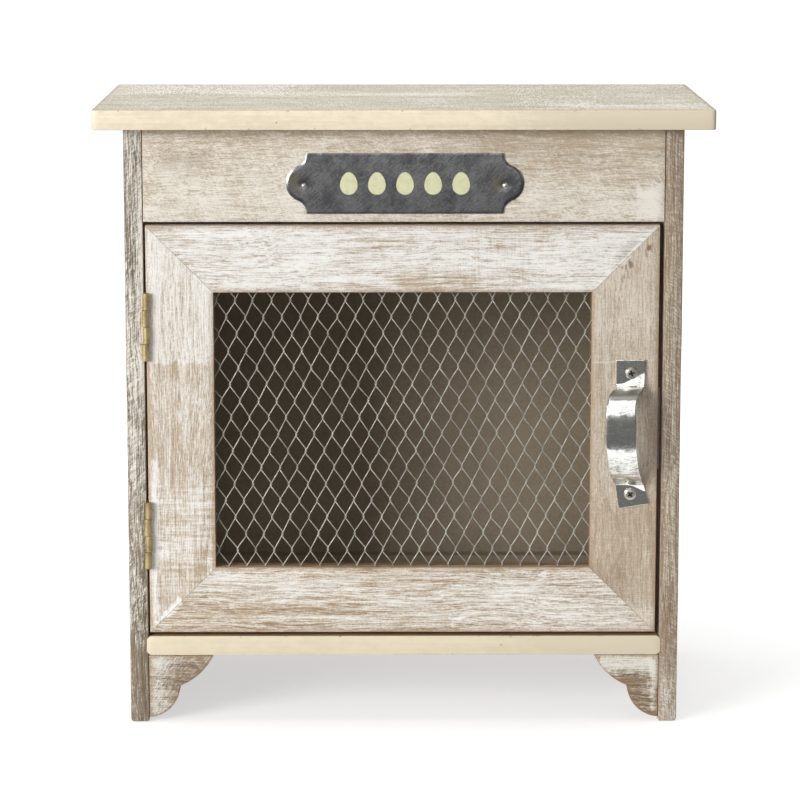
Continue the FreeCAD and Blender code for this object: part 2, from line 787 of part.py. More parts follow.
def wire_netting():
    y = number(NET_FRONT)
    left, right = number(f"{SIGHT_LEFT} - net_cover"), number(f"{SIGHT_RIGHT} + net_cover")
    low, high = number(f"{SIGHT_BOTTOM} - net_cover"), number(f"{SIGHT_TOP} + net_cover")
    rim = number("rebate_width - net_cover")
    columns, rows = round(number("net_columns")), round(number("net_rows"))
    pitch, row_pitch = (right - left) / columns, (high - low) / (rows - 1)
    least_gap = 2 * number("net_wire")
    gaps = []
    for row in range(rows):
        shift = row % 2
        for column in range(columns + shift):
            centre_x = left + pitch * (column + (1 - shift) / 2)
            outline = net_gap(centre_x, low + row_pitch * row, pitch, row_pitch)
            for axis, limit, sign in ((0, right, 1), (0, left, -1), (1, high, 1), (1, low, -1)):
                outline = trimmed(outline, axis, limit, sign)
            if len(outline) > 2 and max(x for x, z in outline) - min(x for x, z in outline) > least_gap:
                gaps.append(upright_loop(outline[::-1], y))
    print("netting gaps", len(gaps))
    nail_ring = flat_sided_ring(number("batten_nail_shank / 2"))
    nail_holes = []
    for x, z in batten_spots:
        outline = [(number(x) + across, number(z) + up) for across, up in nail_ring]
        nail_holes.append(upright_loop(outline[::-1], y))
    left, right, low, high = left - rim, right + rim, low - rim, high + rim
    border = upright_loop([(left, low), (right, low), (right, high), (left, high)], y)
    return Part.Face([border] + gaps + nail_holes).extrude(Vector(0, number("net_wire"), 0))


keep(shaped("wire_netting", wire_netting()))


# Butt hinges: each leaf rolls into two of the four knuckles, and the pin is tight in the frame leaf
def hinge_leaf(label, hinge, x_range, knuckles, bore, screws):
    height = (hinge, f"{hinge} + hinge_length")
    solids = [block(f"{label}_plate", x_range, (FRONT, f"{FRONT} + leaf_width"), height)]
    for index in knuckles:
        bottom = f"({hinge} + {index} * ({KNUCKLE_LENGTH} + knuckle_gap))"
        rolled = (f"{label}_knuckle{index}", "knuckle_radius", PIN_X, PIN_Y, bottom, KNUCKLE_LENGTH)
        solids.append(upright_rod(*rolled))
        tongue_height = (bottom, f"{bottom} + {KNUCKLE_LENGTH}")
        solids.append(block(f"{label}_tongue{index}", x_range, (PIN_Y, FRONT), tongue_height))
    blank = joined(f"{label}_blank", *solids)
    hole = upright_rod(f"{label}_bore", bore, PIN_X, PIN_Y, hinge, "hinge_length")
    return keep(cut(label, blank, hole, screws))


frame_leaf_x = (f"-{INNER}", f"-{INNER} + leaf_thickness")
door_leaf_x = (f"{PIN_X} + leaf_gap / 2", f"{PIN_X} + leaf_gap / 2 + leaf_thickness")
for name, hinge in (("upper", UPPER_HINGE), ("lower", LOWER_HINGE)):
    hinge_leaf(f"{name}_hinge_frame_leaf", hinge, frame_leaf_x, (0, 2), "pin_radius", hinge_frame_screws)
    hinge_leaf(f"{name}_hinge_door_leaf", hinge, door_leaf_x, (1, 3), "pin_radius + pin_running_clearance",
               hinge_door_screws)
    keep(upright_rod(f"{name}_hinge_pin", "pin_radius", PIN_X, PIN_Y, hinge, "hinge_length"))


# Handle: one strip, bent out and back, whose bow leans sideways and whose lower lug is splayed
def bent_line(corners):
    """A wire along (place, bend radius) corners; bends that share too short a run are made tighter."""
    places = [place for place, radius in corners]
    runs = [after - before for before, after in zip(places, places[1:])]
    turns = [run.getAngle(next_run) for run, next_run in zip(runs, runs[1:])]
    setbacks = [radius * math.tan(turn / 2) for turn, (place, radius) in zip(turns, corners[1:])]
    taken = [first + second for first, second in zip([0] + setbacks, setbacks + [0])]
    room = [min(1, 0.98 * run.Length / length) for run, length in zip(runs, taken)]
    edges = []
    here = places[0]
    for index, turn in enumerate(turns):
        place = places[index + 1]
        setback = setbacks[index] * min(room[index], room[index + 1])
        back = (places[index] - place).normalize()
        ahead = (places[index + 2] - place).normalize()
        start, end = place + back * setback, place + ahead * setback
        mid_chord = (start + end) / 2
        height = setback * math.cos(turn / 2) * math.tan(turn / 4)
        crown = mid_chord + (place - mid_chord).normalize() * height
        edges += [Part.makeLine(here, start), Part.Arc(start, crown, end).toShape()]
        here = end
    edges.append(Part.makeLine(here, places[-1]))
    return Part.Wire(edges)


def door_handle():
    lean, projection = number("handle_lean"), number("handle_projection")
    half_strip, width = number("strip_thickness / 2"), number("strip_width")
    slant = math.hypot(projection, lean)
    outwards = Vector(-lean, -projection, 0) / slant
    corner = point(f"{HANDLE_X} - strip_width / 2", FRONT, HANDLE_Z)
    reach = slant - half_strip
    upper_bend, lower_bend = number("upper_bend_height"), -number("lower_bend_depth")
    lower_radius = number("lower_bend_radius")

    def spot(out, up):
        return corner + outwards * out + Vector(0, 0, up)

    centre_line = bent_line([
        (spot(half_strip, upper_bend + number("upper_lug_length") - half_strip), 0),
        (spot(half_strip, upper_bend), number("upper_bend_radius")),
        (spot(reach, number("shoulder_height")), number("shoulder_radius")),
        (spot(reach, -number("bow_turn_depth")), number("bow_radius")),
        (spot(number("knee_out"), -number("knee_depth")), number("knee_radius")),
        (spot(half_strip, lower_bend), lower_radius),
        (spot(half_strip, lower_bend - lower_radius), 0),
    ])
    bow = Part.Face(centre_line.makeOffset2D(half_strip)).extrude(Vector(width, 0, 0))

    lug, splay, depth = number("lower_lug_length"), number("lug_splay"), number(LUG_DEPTH)
    rise = splay * width / lug
    lug_outline = [(0, 0), (width, 0), (width + splay, rise - lug), (splay, -lug)]
    hem = corner + Vector(0, 0, lower_bend)
    lug_wire = Part.makePolygon([hem + Vector(x, 0, z) for x, z in lug_outline + lug_outline[:1]])
    lower_lug = Part.Face(lug_wire).extrude(Vector(0, -depth, 0))
    return bow.fuse(lower_lug).removeSplitter()


handle_blank = shaped("handle_blank", door_handle())
keep(cut("door_handle", handle_blank, handle_screws))

# Magnetic catch on the right side, and the strike plate that it holds
body_z = (f"{HANDLE_Z} - catch_body_height / 2", f"{HANDLE_Z} + catch_body_height / 2")
ear_z = (f"{HANDLE_Z} - catch_ear_height / 2", f"{HANDLE_Z} + catch_ear_height / 2")
stack_z = (f"{body_z[0]} + catch_wall", f"{body_z[1]} - catch_wall")
stack_x = (f"{STACK_RIGHT} - {STACK_WIDTH}", STACK_RIGHT)
pocket_end = f"({CATCH_BACK} - catch_wall)"
catch_block = block("catch_block", (f"{stack_x[0]} - catch_wall", INNER), (CATCH_FRONT, CATCH_BACK), body_z)
catch_ears = block("catch_ears", (f"{INNER} - catch_ear_thickness", INNER), (CATCH_FRONT, CATCH_BACK), ear_z)
catch_pocket = block("catch_pocket", stack_x, (CATCH_FRONT, pocket_end), stack_z)
catch_shell = joined("catch_shell", catch_block, catch_ears)
keep(cut("catch_housing", catch_shell, catch_pocket, catch_screws))

magnet_x = (f"{stack_x[0]} + pole_thickness", f"{stack_x[1]} - pole_thickness")
keep(block("catch_magnet", magnet_x, (CATCH_FRONT, pocket_end), stack_z))
pole_depth = (POLE_FRONT, pocket_end)
inner_pole = block("inner_pole", (stack_x[0], magnet_x[0]), pole_depth, stack_z)
outer_pole = block("outer_pole", (magnet_x[1], stack_x[1]), pole_depth, stack_z)
keep(together("catch_pole_plates", [inner_pole, outer_pole]))

strike_blank = block(
    "strike_blank",
    (f"{STRIKE_RIGHT} - strike_width", STRIKE_RIGHT),
    (DOOR_BACK, f"{DOOR_BACK} + strike_thickness"),
    (f"{HANDLE_Z} - strike_height / 2", f"{HANDLE_Z} + strike_height / 2"),
)
keep(cut("catch_strike_plate", strike_blank, strike_screw))

# Finish: nothing is written unless every object is sound
doc.recompute()
for item in doc.Objects:
    if "Invalid" in item.State or "Error" in item.State:
        raise RuntimeError(f"{item.Label} did not build: {item.State}")
for node in nodes:
    if node.Shape.isNull() or not node.Shape.isValid() or not node.Shape.Solids:
        raise RuntimeError(f"{node.Label} has no sound solid")

os.makedirs("parts", exist_ok=True)
for node in nodes:
    node.Shape.exportStep(f"parts/{node.Label}.step")
    print(f"{node.Label}: {len(node.Shape.Solids)} solids, {node.Shape.Volume:.0f} cubic mm")
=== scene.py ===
import math
import random

import bmesh
import bpy
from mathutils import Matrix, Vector


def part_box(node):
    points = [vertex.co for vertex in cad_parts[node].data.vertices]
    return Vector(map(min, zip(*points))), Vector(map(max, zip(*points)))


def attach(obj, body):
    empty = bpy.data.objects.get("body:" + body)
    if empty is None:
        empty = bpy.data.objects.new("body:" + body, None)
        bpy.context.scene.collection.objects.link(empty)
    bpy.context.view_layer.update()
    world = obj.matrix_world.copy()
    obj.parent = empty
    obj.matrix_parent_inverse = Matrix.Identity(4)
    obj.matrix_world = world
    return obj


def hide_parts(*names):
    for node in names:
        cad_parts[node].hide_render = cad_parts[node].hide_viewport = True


# The dressed egg cupboard: limed boards with worn arrises, cream painted edges, a dull zinc plate, brass
# butts, a bent steel handle and twisted wire netting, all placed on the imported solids. Lengths are metres,
# except where millimetres are named.
MM = 0.001
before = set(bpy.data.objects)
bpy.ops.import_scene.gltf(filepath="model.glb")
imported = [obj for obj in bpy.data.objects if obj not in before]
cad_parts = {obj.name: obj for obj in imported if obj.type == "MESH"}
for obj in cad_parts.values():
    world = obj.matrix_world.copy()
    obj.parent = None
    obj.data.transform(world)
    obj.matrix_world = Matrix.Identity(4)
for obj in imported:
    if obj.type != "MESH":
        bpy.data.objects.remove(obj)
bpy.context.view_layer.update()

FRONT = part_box("fascia_board")[0].y
DOOR_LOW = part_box("door_bottom_rail")[0]
DOOR_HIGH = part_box("door_top_rail")[1]
MEMBER_WIDTH = 35 * MM
LIP = 4 * MM
REBATE = 7 * MM
BOARD_CUTS = 5 * MM
HOLLOW_SPREAD = 50 * MM
Y_AXIS, Z_AXIS = 1, 2


# Modelling by hand
def nothing_selected():
    if bpy.context.mode != "OBJECT":
        bpy.ops.object.mode_set(mode="OBJECT")
    bpy.ops.object.select_all(action="DESELECT")


def take(piece):
    """Makes a piece the only one selected."""
    nothing_selected()
    piece.select_set(True)
    bpy.context.view_layer.objects.active = piece


def shape_it():
    bpy.ops.object.mode_set(mode="EDIT")


def done_shaping():
    bpy.ops.object.mode_set(mode="OBJECT")


def settle(piece):
    """Puts the piece's place and turn into its mesh."""
    take(piece)
    bpy.ops.object.transform_apply(location=True, rotation=True, scale=True)
    return piece


def called(name):
    piece = bpy.context.object
    piece.name = name
    piece.data.name = name
    return piece


def pick_all():
    bpy.ops.mesh.select_all(action="SELECT")


def pick(kind, test):
    """Selects just the faces or edges that pass a test."""
    mesh = bpy.context.edit_object.data
    bpy.ops.mesh.select_mode(type=kind)
    bpy.ops.mesh.select_all(action="DESELECT")
    shape = bmesh.from_edit_mesh(mesh)
    shape.normal_update()
    for item in shape.faces if kind == "FACE" else shape.edges:
        if test(item):
            item.select_set(True)
    shape.select_flush_mode()
    bmesh.update_edit_mesh(mesh)


def pull(x, y, z):
    """Draws the selection out of the piece, with new faces behind it."""
    bpy.ops.mesh.extrude_region_move(TRANSFORM_OT_translate={"value": (x, y, z)})


def face_outwards():
    pick_all()
    bpy.ops.mesh.normals_make_consistent(inside=False)


def smooth_below(degrees):
    bpy.ops.object.shade_smooth_by_angle(angle=math.radians(degrees))


def middle(edge):
    return (edge.verts[0].co + edge.verts[1].co) / 2


def runs_along(edge, axis):
    way = edge.verts[1].co - edge.verts[0].co
    return abs(way[axis]) > 0.999 * way.length


def saw(point, direction, drop=False):
    """Cuts the whole piece through a plane; with drop, what lies beyond the plane falls away."""
    pick_all()
    bpy.ops.mesh.bisect(plane_co=point, plane_no=direction, clear_outer=drop, use_fill=drop)


def cross_cuts(low, high, spacing):
    """Divides a piece evenly along its three axes, so that its faces can lie uneven."""
    for axis, direction in enumerate(((1, 0, 0), (0, 1, 0), (0, 0, 1))):
        count = max(1, round((high[axis] - low[axis]) / spacing))
        for cut in range(1, count):
            point = Vector((0, 0, 0))
            point[axis] = low[axis] + (high[axis] - low[axis]) * cut / count
            saw(point, direction)


def apply_modifier(piece, kind, **settings):
    bpy.context.view_layer.objects.active = piece
    modifier = piece.modifiers.new(kind.lower(), kind)
    for name, value in settings.items():
        setattr(modifier, name, value)
    bpy.ops.object.modifier_apply(modifier=modifier.name)


def blank_board(name, low, high):
    nothing_selected()
    bpy.ops.mesh.primitive_cube_add(size=1, location=(low + high) / 2, scale=high - low)
    return settle(called(name))


def wear_down(board, arris, hollow, crisp=None):
    """Rounds the arrises, marks them for the worn finish, and lets the faces lie a little uneven.

    Edges that pass the crisp test stay sharp.
    """
    bpy.ops.mesh.select_mode(type="EDGE")
    bpy.ops.mesh.select_all(action="DESELECT")
    bpy.ops.mesh.edges_select_sharp(sharpness=math.radians(35))
    if crisp:
        shape = bmesh.from_edit_mesh(board.data)
        for edge in shape.edges:
            if edge.select and crisp(edge):
                edge.select_set(False)
        bmesh.update_edit_mesh(board.data)
    bpy.ops.mesh.bevel(offset=arris, segments=2, affect="EDGES")
    shape = bmesh.from_edit_mesh(board.data)
    worn = shape.verts.layers.float.new("worn_arris")
    for corner in shape.verts:
        corner[worn] = 1.0 if corner.select else 0.0
    bmesh.update_edit_mesh(board.data)
    done_shaping()
    unevenness = bpy.data.textures.new(board.name + "_unevenness", "CLOUDS")
    unevenness.noise_scale = HOLLOW_SPREAD
    apply_modifier(board, "DISPLACE", texture=unevenness, strength=hollow, mid_level=1.0)
    smooth_below(28)


def worn_board(node, arris, hollow=0.2 * MM, rounds=(), set_back=0):
    """A board of the node's size with worn arrises; rounds are (edge test, radius) pairs."""
    low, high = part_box(node)
    low.y += set_back
    board = blank_board("worn_" + node, low, high)
    shape_it()
    for test, radius in rounds:
        pick("EDGE", test)
        bpy.ops.mesh.bevel(offset=radius, segments=5, affect="EDGES")
    cross_cuts(low, high, BOARD_CUTS)
    wear_down(board, arris, hollow)
    return board


def turned(name, profile, sides):
    """Raises a disc through (radius, height) steps about the Z axis, given in millimetres."""
    nothing_selected()
    radius, height = profile[0]
    bpy.ops.mesh.primitive_circle_add(vertices=sides, radius=radius * MM, fill_type="NGON")
    piece = called(name)
    shape_it()
    pick_all()
    bpy.ops.transform.translate(value=(0, 0, height * MM))
    for next_radius, next_height in profile[1:]:
        pull(0, 0, (next_height - height) * MM)
        ratio = next_radius / radius
        bpy.ops.transform.resize(value=(ratio, ratio, 1), center_override=(0, 0, next_height * MM))
        radius, height = next_radius, next_height
    face_outwards()
    done_shaping()
    smooth_below(40)
    return piece


def copy_of(piece):
    take(piece)
    bpy.ops.object.duplicate(linked=False)
    return bpy.context.object


def joined(pieces, name):
    nothing_selected()
    for piece in pieces:
        piece.select_set(True)
    bpy.context.view_layer.objects.active = pieces[0]
    bpy.ops.object.join()
    return settle(called(name))


def driven_copies(pattern, name, places):
    """Copies of a turned fastener, each with its own mesh, joined as one piece; the pattern goes.

    A place is its seat, the way that its head faces, and its turn about that way.
    """
    copies = []
    for seat, facing, turn in places:
        copy = copy_of(pattern)
        copy.rotation_mode = "QUATERNION"
        faced = Vector((0, 0, 1)).rotation_difference(Vector(facing))
        spun = Vector((1, 0, 0)).rotation_difference(Vector((math.cos(turn), math.sin(turn), 0)))
        copy.rotation_quaternion = faced @ spun
        copy.location = seat
        copies.append(settle(copy))
    bpy.data.objects.remove(pattern)
    return joined(copies, name)


def pressed_sheet(name, columns, rows, where):
    """A grid whose corners go where a function puts them, from their column and their height, -1 to 1."""
    nothing_selected()
    bpy.ops.mesh.primitive_grid_add(x_subdivisions=len(columns) - 1, y_subdivisions=rows, size=2)
    sheet = called(name)
    shape_it()
    shape = bmesh.from_edit_mesh(sheet.data)
    for corner in shape.verts:
        column = columns[round((corner.co.x + 1) / 2 * (len(columns) - 1))]
        corner.co = where(column, corner.co.y)
    bmesh.update_edit_mesh(sheet.data)
    return sheet


def soften_sheet(sheet, width, segments):
    """Rounds off the rims of a piece of sheet metal."""
    apply_modifier(sheet, "BEVEL", width=width, segments=segments, limit_method="ANGLE",
                   angle_limit=math.radians(50))
    smooth_below(35)


def dress(piece, finishes, body, slot, *nodes):
    """Gives a piece its finish, the body it rides on, and the solids it stands for; its slot is not used.

    Of several finishes, each face keeps the one that it was given while it was shaped.
    """
    chosen = [face.material_index for face in piece.data.polygons]
    piece.data.materials.clear()
    for finish in finishes if isinstance(finishes, list) else [finishes]:
        piece.data.materials.append(finish)
    piece.data.polygons.foreach_set("material_index", chosen)
    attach(piece, body)
    if nodes:
        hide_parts(*nodes)


def second_finish(piece, test):
    """Gives the second finish to the faces that pass a test, and the first to all others."""
    for face in piece.data.polygons:
        face.material_index = 1 if test(face) else 0


# Finishes: small steps that every finish is made of
def tint(colour):
    """A colour as it is seen, from 0 to 255, as the shader takes it."""
    linear = []
    for part in colour:
        part = part / 255
        linear.append(part / 12.92 if part <= 0.04045 else ((part + 0.055) / 1.055) ** 2.4)
    return (*linear, 1)


def feed(socket, value):
    if isinstance(value, bpy.types.NodeSocket):
        socket.id_data.links.new(value, socket)
    else:
        socket.default_value = value


def step(kind, fed, **settings):
    """A step fed with values and with the results of other steps, in whose tree it is made."""
    tree = next(value.id_data for value in fed.values() if isinstance(value, bpy.types.NodeSocket))
    made = tree.nodes.new("ShaderNode" + kind)
    for name, value in settings.items():
        setattr(made, name, value)
    for label, value in fed.items():
        feed(made.inputs[label], value)
    return made.outputs


def reckon(operation, first, second, kind="Math"):
    return step(kind, {0: first, 1: second}, operation=operation)[0]


def times(first, second):
    return reckon("MULTIPLY", first, second)


def total(*values):
    result = values[0]
    for value in values[1:]:
        result = reckon("ADD", result, value)
    return result


def swing(*patterns):
    """The sum of (0 to 1 pattern, amount) pairs, each a swing of that amount about nothing."""
    swings = []
    for value, amount in patterns:
        swings.append(times(reckon("SUBTRACT", value, 0.5), amount))
    return total(*swings)


def fade(value, start, end, low=0.0, high=1.0):
    fed = {"Value": value, "From Min": start, "From Max": end, "To Min": low, "To Max": high}
    return step("MapRange", fed, interpolation_type="SMOOTHSTEP")["Result"]


def mixed(factor, first, second):
    return step("Mix", {0: factor, 6: first, 7: second}, data_type="RGBA")[2]


def scaled(vector, scale=(1, 1, 1), turn=(0, 0, 0), shift=(0, 0, 0)):
    fed = {"Vector": vector, "Scale": scale, "Rotation": turn, "Location": shift}
    return step("Mapping", fed)["Vector"]


def noise(vector, scale=1.0, detail=2.0, roughness=0.55):
    fed = {"Vector": vector, "Scale": scale, "Detail": detail, "Roughness": roughness}
    return step("TexNoise", fed)["Fac"]


def marks(place, along, across, detail=2.0, roughness=0.55, slant=0):
    """Noise with so many marks to a metre along X and across it, at a slant as seen from the front."""
    if slant:
        place = scaled(place, turn=(0, slant, 0))
    return noise(scaled(place, (along, across, across)), detail=detail, roughness=roughness)


# Effects that several finishes share
SURFACE = {"Color": "Colour", "Float": "Roughness Height"}


def new_group(name, inputs, outputs):
    """An empty effect; its sockets are given as names by kind."""
    tree = bpy.data.node_groups.new(name, "ShaderNodeTree")
    for side, sockets in (("INPUT", inputs), ("OUTPUT", outputs)):
        for kind, labels in sockets.items():
            for label in labels.split():
                tree.interface.new_socket(label, in_out=side, socket_type="NodeSocket" + kind)
    given = tree.nodes.new("NodeGroupInput")
    result = tree.nodes.new("NodeGroupOutput")
    return tree, given.outputs, result.inputs


def use_group(group, **fed):
    return step("Group", fed, node_tree=group)


def limed_grain_group():
    """White wash brushed over open grain: where it covers, where wood shows, how deep the fibres are."""
    inputs = {"Vector": "Grain Stroke", "Float": "Cover Contrast Cross Arris", "Color": "Wood Dark Wash"}
    tree, given, result = new_group("limed_grain", inputs, SURFACE)
    grain = given["Grain"]
    sway = swing((marks(grain, 9, 22), 0.012))
    drift = step("CombineXYZ", {1: sway, 2: sway})[0]
    wavy = reckon("ADD", grain, drift, "VectorMath")
    fibre = marks(wavy, 130, 2900, roughness=0.7)
    streak = marks(wavy, 30, 1600, 3, 0.65)
    ring = marks(wavy, 9, 480)
    blotch = marks(grain, 26, 70, 4, 0.6)
    grit = marks(grain, 800, 1700)
    stroke = marks(given["Stroke"], 1300, 60, 3, 0.6)
    cloth = marks(grain, 1900, 260, 3)
    lively = times(swing((fibre, 2.0), (streak, 2.2), (ring, 0.8)), given["Contrast"])
    across = times(swing((stroke, 2.4)), given["Cross"])
    patchy = swing((blotch, 0.8), (cloth, 0.5), (grit, 1.0))
    washed = fade(total(given["Cover"], lively, across, patchy), -0.05, 1.05)
    depth = total(swing((ring, 1.2), (streak, 1.2), (fibre, 1.2)), 0.5)
    bare = mixed(fade(depth, 0.0, 1.0), given["Dark"], given["Wood"])
    rub = total(times(given["Arris"], 0.8), swing((streak, 1.4), (cloth, 0.8)))
    rubbed = times(fade(rub, 0.45, 0.95), 0.75)
    polished = mixed(0.6, bare, tint((168, 124, 80)))
    feed(result["Colour"], mixed(rubbed, mixed(washed, bare, given["Wash"]), polished))
    feed(result["Roughness"], fade(washed, 0, 1, 0.62, 0.82))
    relief = swing((fibre, 0.9), (streak, 0.4))
    feed(result["Height"], total(times(washed, 0.5), relief))
    return tree


def ragged_patch_group():
    """A soft-edged patch of brushwork about a centre, as far as its reach."""
    inputs = {"Vector": "Place Centre Reach", "Float": "Soft Ragged"}
    tree, given, result = new_group("ragged_patch", inputs, {"Float": "Mask"})
    offset = reckon("SUBTRACT", given["Place"], given["Centre"], "VectorMath")
    away = step("VectorMath", {0: offset}, operation="ABSOLUTE")[0]
    parts = step("SeparateXYZ", {0: reckon("SUBTRACT", away, given["Reach"], "VectorMath")})
    past = reckon("MAXIMUM", reckon("MAXIMUM", parts[0], parts[2]), parts[1])
    fringe = noise(scaled(given["Place"], (260, 260, 120)), detail=3)
    past = total(past, swing((fringe, given["Ragged"])))
    feed(result["Mask"], fade(reckon("DIVIDE", past, given["Soft"]), 1.0, -1.0))
    return tree


def brushed_paint_group():
    """Old gloss paint on an edge: faint strokes, dabs, specks, and chips along the arrises."""
    inputs = {"Vector": "Strokes", "Float": "Arris", "Color": "Paint Shade Under"}
    tree, given, result = new_group("brushed_paint", inputs, SURFACE)
    place = given["Strokes"]
    strokes = marks(place, 14, 520, 3)
    dabs = marks(place, 130, 260, 4, 0.65)
    # Towards the right the paint goes over to its shade colour: partly dirt, partly painted shade where the
    # key lamp's light falls off.
    shade_and_dirt_rightwards = fade(step("SeparateXYZ", {0: place})[0], -0.03, 0.14, 0.0, 0.5)
    fresh = total(swing((strokes, 0.7), (dabs, 1.0)), marks(place, 9, 30))
    fresh = reckon("SUBTRACT", fresh, shade_and_dirt_rightwards)
    colour = mixed(fade(fresh, 0.1, 0.7), given["Shade"], given["Paint"])
    dots = step("TexVoronoi", {"Vector": place, "Scale": 120})["Distance"]
    speck = reckon("LESS_THAN", dots, 0.06)
    seldom = reckon("GREATER_THAN", noise(place, scale=75, detail=1), 0.66)
    speck = times(times(speck, seldom), 0.7)
    flake = noise(place, scale=420, detail=4)
    flake = total(times(given["Arris"], 0.75), swing((flake, 1.8)))
    chip = reckon("MAXIMUM", speck, times(fade(flake, 0.95, 1.2), 0.7))
    feed(result["Colour"], mixed(chip, colour, given["Under"]))
    feed(result["Roughness"], fade(strokes, 0.2, 0.8, 0.42, 0.56))
    feed(result["Height"], total(swing((strokes, 0.5)), times(chip, -1.0)))
    return tree


def aged_metal_group():
    """Dull metal: clouds of tarnish, wiped marks, and fine scratches both ways."""
    inputs = {"Vector": "Place", "Float": "Tarnish Clouding Wiping Scratching Smooth Rough",
              "Color": "Bright Dull"}
    tree, given, result = new_group("aged_metal", inputs, SURFACE)
    place = given["Place"]
    cloud = noise(place, scale=95, detail=5, roughness=0.65)
    grains = noise(place, scale=900, detail=3)
    wiped = marks(place, 240, 1300, 3, 0.6, slant=0.75)
    fine = marks(place, 110, 1900, slant=0.6)
    stray = marks(place, 100, 1600, slant=-0.9)
    scratch = reckon("MAXIMUM", fade(fine, 0.56, 0.74), fade(stray, 0.6, 0.76))
    scratch = times(scratch, given["Scratching"])
    clouded = times(swing((cloud, 1.8), (grains, 0.8)), given["Clouding"])
    wiped = times(swing((wiped, 2.0)), given["Wiping"])
    stain = fade(total(clouded, wiped, given["Tarnish"]), 0.1, 0.9)
    colour = mixed(stain, given["Bright"], given["Dull"])
    feed(result["Colour"], mixed(times(scratch, 0.5), colour, given["Bright"]))
    spread = step("Mix", {0: stain, 2: given["Smooth"], 3: given["Rough"]}, data_type="FLOAT")[0]
    feed(result["Roughness"], total(spread, times(scratch, 0.12)))
    feed(result["Height"], total(swing((cloud, 0.6)), times(scratch, -0.5)))
    return tree


LIMED_GRAIN = limed_grain_group()
RAGGED_PATCH = ragged_patch_group()
BRUSHED_PAINT = brushed_paint_group()
AGED_METAL = aged_metal_group()


def new_finish(name, **plain):
    """A finish with its own shader; plain values go straight on the shader's sockets."""
    finish = bpy.data.materials.new(name)
    finish.use_nodes = True
    shader = finish.node_tree.nodes["Principled BSDF"]
    for label, value in plain.items():
        shader.inputs[label.replace("_", " ")].default_value = value
    place = finish.node_tree.nodes.new("ShaderNodeTexCoord").outputs["Object"]
    return finish, shader, place


def hook_up(shader, made, strength, depth):
    feed(shader.inputs["Base Color"], made["Colour"])
    feed(shader.inputs["Roughness"], made["Roughness"])
    bump = step("Bump", {"Strength": strength, "Distance": depth, "Height": made["Height"]})
    feed(shader.inputs["Normal"], bump["Normal"])


def worn_arris(shader):
    mark = shader.id_data.nodes.new("ShaderNodeAttribute")
    mark.attribute_name = "worn_arris"
    return mark.outputs["Fac"]


def patch(place, centre, half_size, soft=4, ragged=10, tilt=0, level=FRONT, depth=0):
    """A ragged patch on a face, given in millimetres as (across, up), and turned by the tilt.

    It reaches the depth to both sides of its level, and no less than its own ragged edge does.
    """
    across = centre[0] * math.cos(tilt) + centre[1] * math.sin(tilt)
    up = centre[1] * math.cos(tilt) - centre[0] * math.sin(tilt)
    if tilt:
        place = scaled(place, turn=(0, tilt, 0))
    depth = max(depth, soft + ragged / 2 + 1)
    reach = (half_size[0] * MM, depth * MM, half_size[1] * MM)
    spot = use_group(RAGGED_PATCH, Place=place, Centre=(across * MM, level, up * MM), Reach=reach,
                     Soft=soft * MM, Ragged=ragged * MM)
    return spot["Mask"]


def with_patches(value, place, patches, **reach):
    """A value that patches add to or take from; each is its amount and then what a patch is given."""
    for amount, *where in patches:
        value = total(times(patch(place, *where, **reach), amount), value)
    return value


def stain_over(shader, colour, place, stains, stain_colour, **reach):
    """Puts a colour with stained patches over it on the shader."""
    for amount, *where in stains:
        spot = times(patch(place, *where, **reach), amount)
        colour = mixed(spot, colour, tint(stain_colour))
    feed(shader.inputs["Base Color"], colour)


def limed_wood(name, turn, shift, cover, wood, dark, wash, contrast=1.0, cross=0.0, patches=(), crossed=(),
               stains=(), slant=0, coarse=1.0, drawn=1.0, length=1.0, rubbed=1.0, lying=False):
    """Limed wood with its grain along the turn, its marks of the given length, and its arrises rubbed.

    Patches change the wash, and crossed ones the strokes across the grain, which lie at the slant, as
    coarse as the brush was and drawn out by the hand. Stains darken the wood. On a lying board all three
    are placed from above.
    """
    finish, shader, place = new_finish(name, Specular_IOR_Level=0.25)
    grain = scaled(scaled(place, turn=turn, shift=shift), (1 / length, 1, 1))
    stroke = scaled(place, turn=(turn[0], turn[1] + slant, turn[2]), shift=shift)
    stroke = scaled(stroke, (1 / coarse, 1 / drawn, 1 / drawn))
    seen = scaled(place, turn=(math.pi / 2, 0, 0)) if lying else place
    level = -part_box("top_board")[1].z if lying else FRONT
    made = use_group(LIMED_GRAIN, Grain=grain, Stroke=stroke, Contrast=contrast,
                     Cover=with_patches(cover, seen, patches, level=level),
                     Cross=with_patches(cross, seen, crossed, level=level),
                     Arris=times(worn_arris(shader), rubbed),
                     Wood=tint(wood), Dark=tint(dark), Wash=tint(wash))
    hook_up(shader, made, 0.5, 0.4 * MM)
    stain_over(shader, made["Colour"], seen, stains, (120, 91, 64), level=level)
    return finish


UPRIGHT, LEVEL = (0, math.pi / 2, 0), (0, 0, 0)
MITRE = math.pi / 4
SHORT = 0.22
TAN, TAN_DARK, WASH = (207, 188, 161), (168, 146, 119), (247, 245, 241)
GREY, GREY_DARK, CHALK = (156, 142, 123), (108, 95, 79), (230, 226, 216)

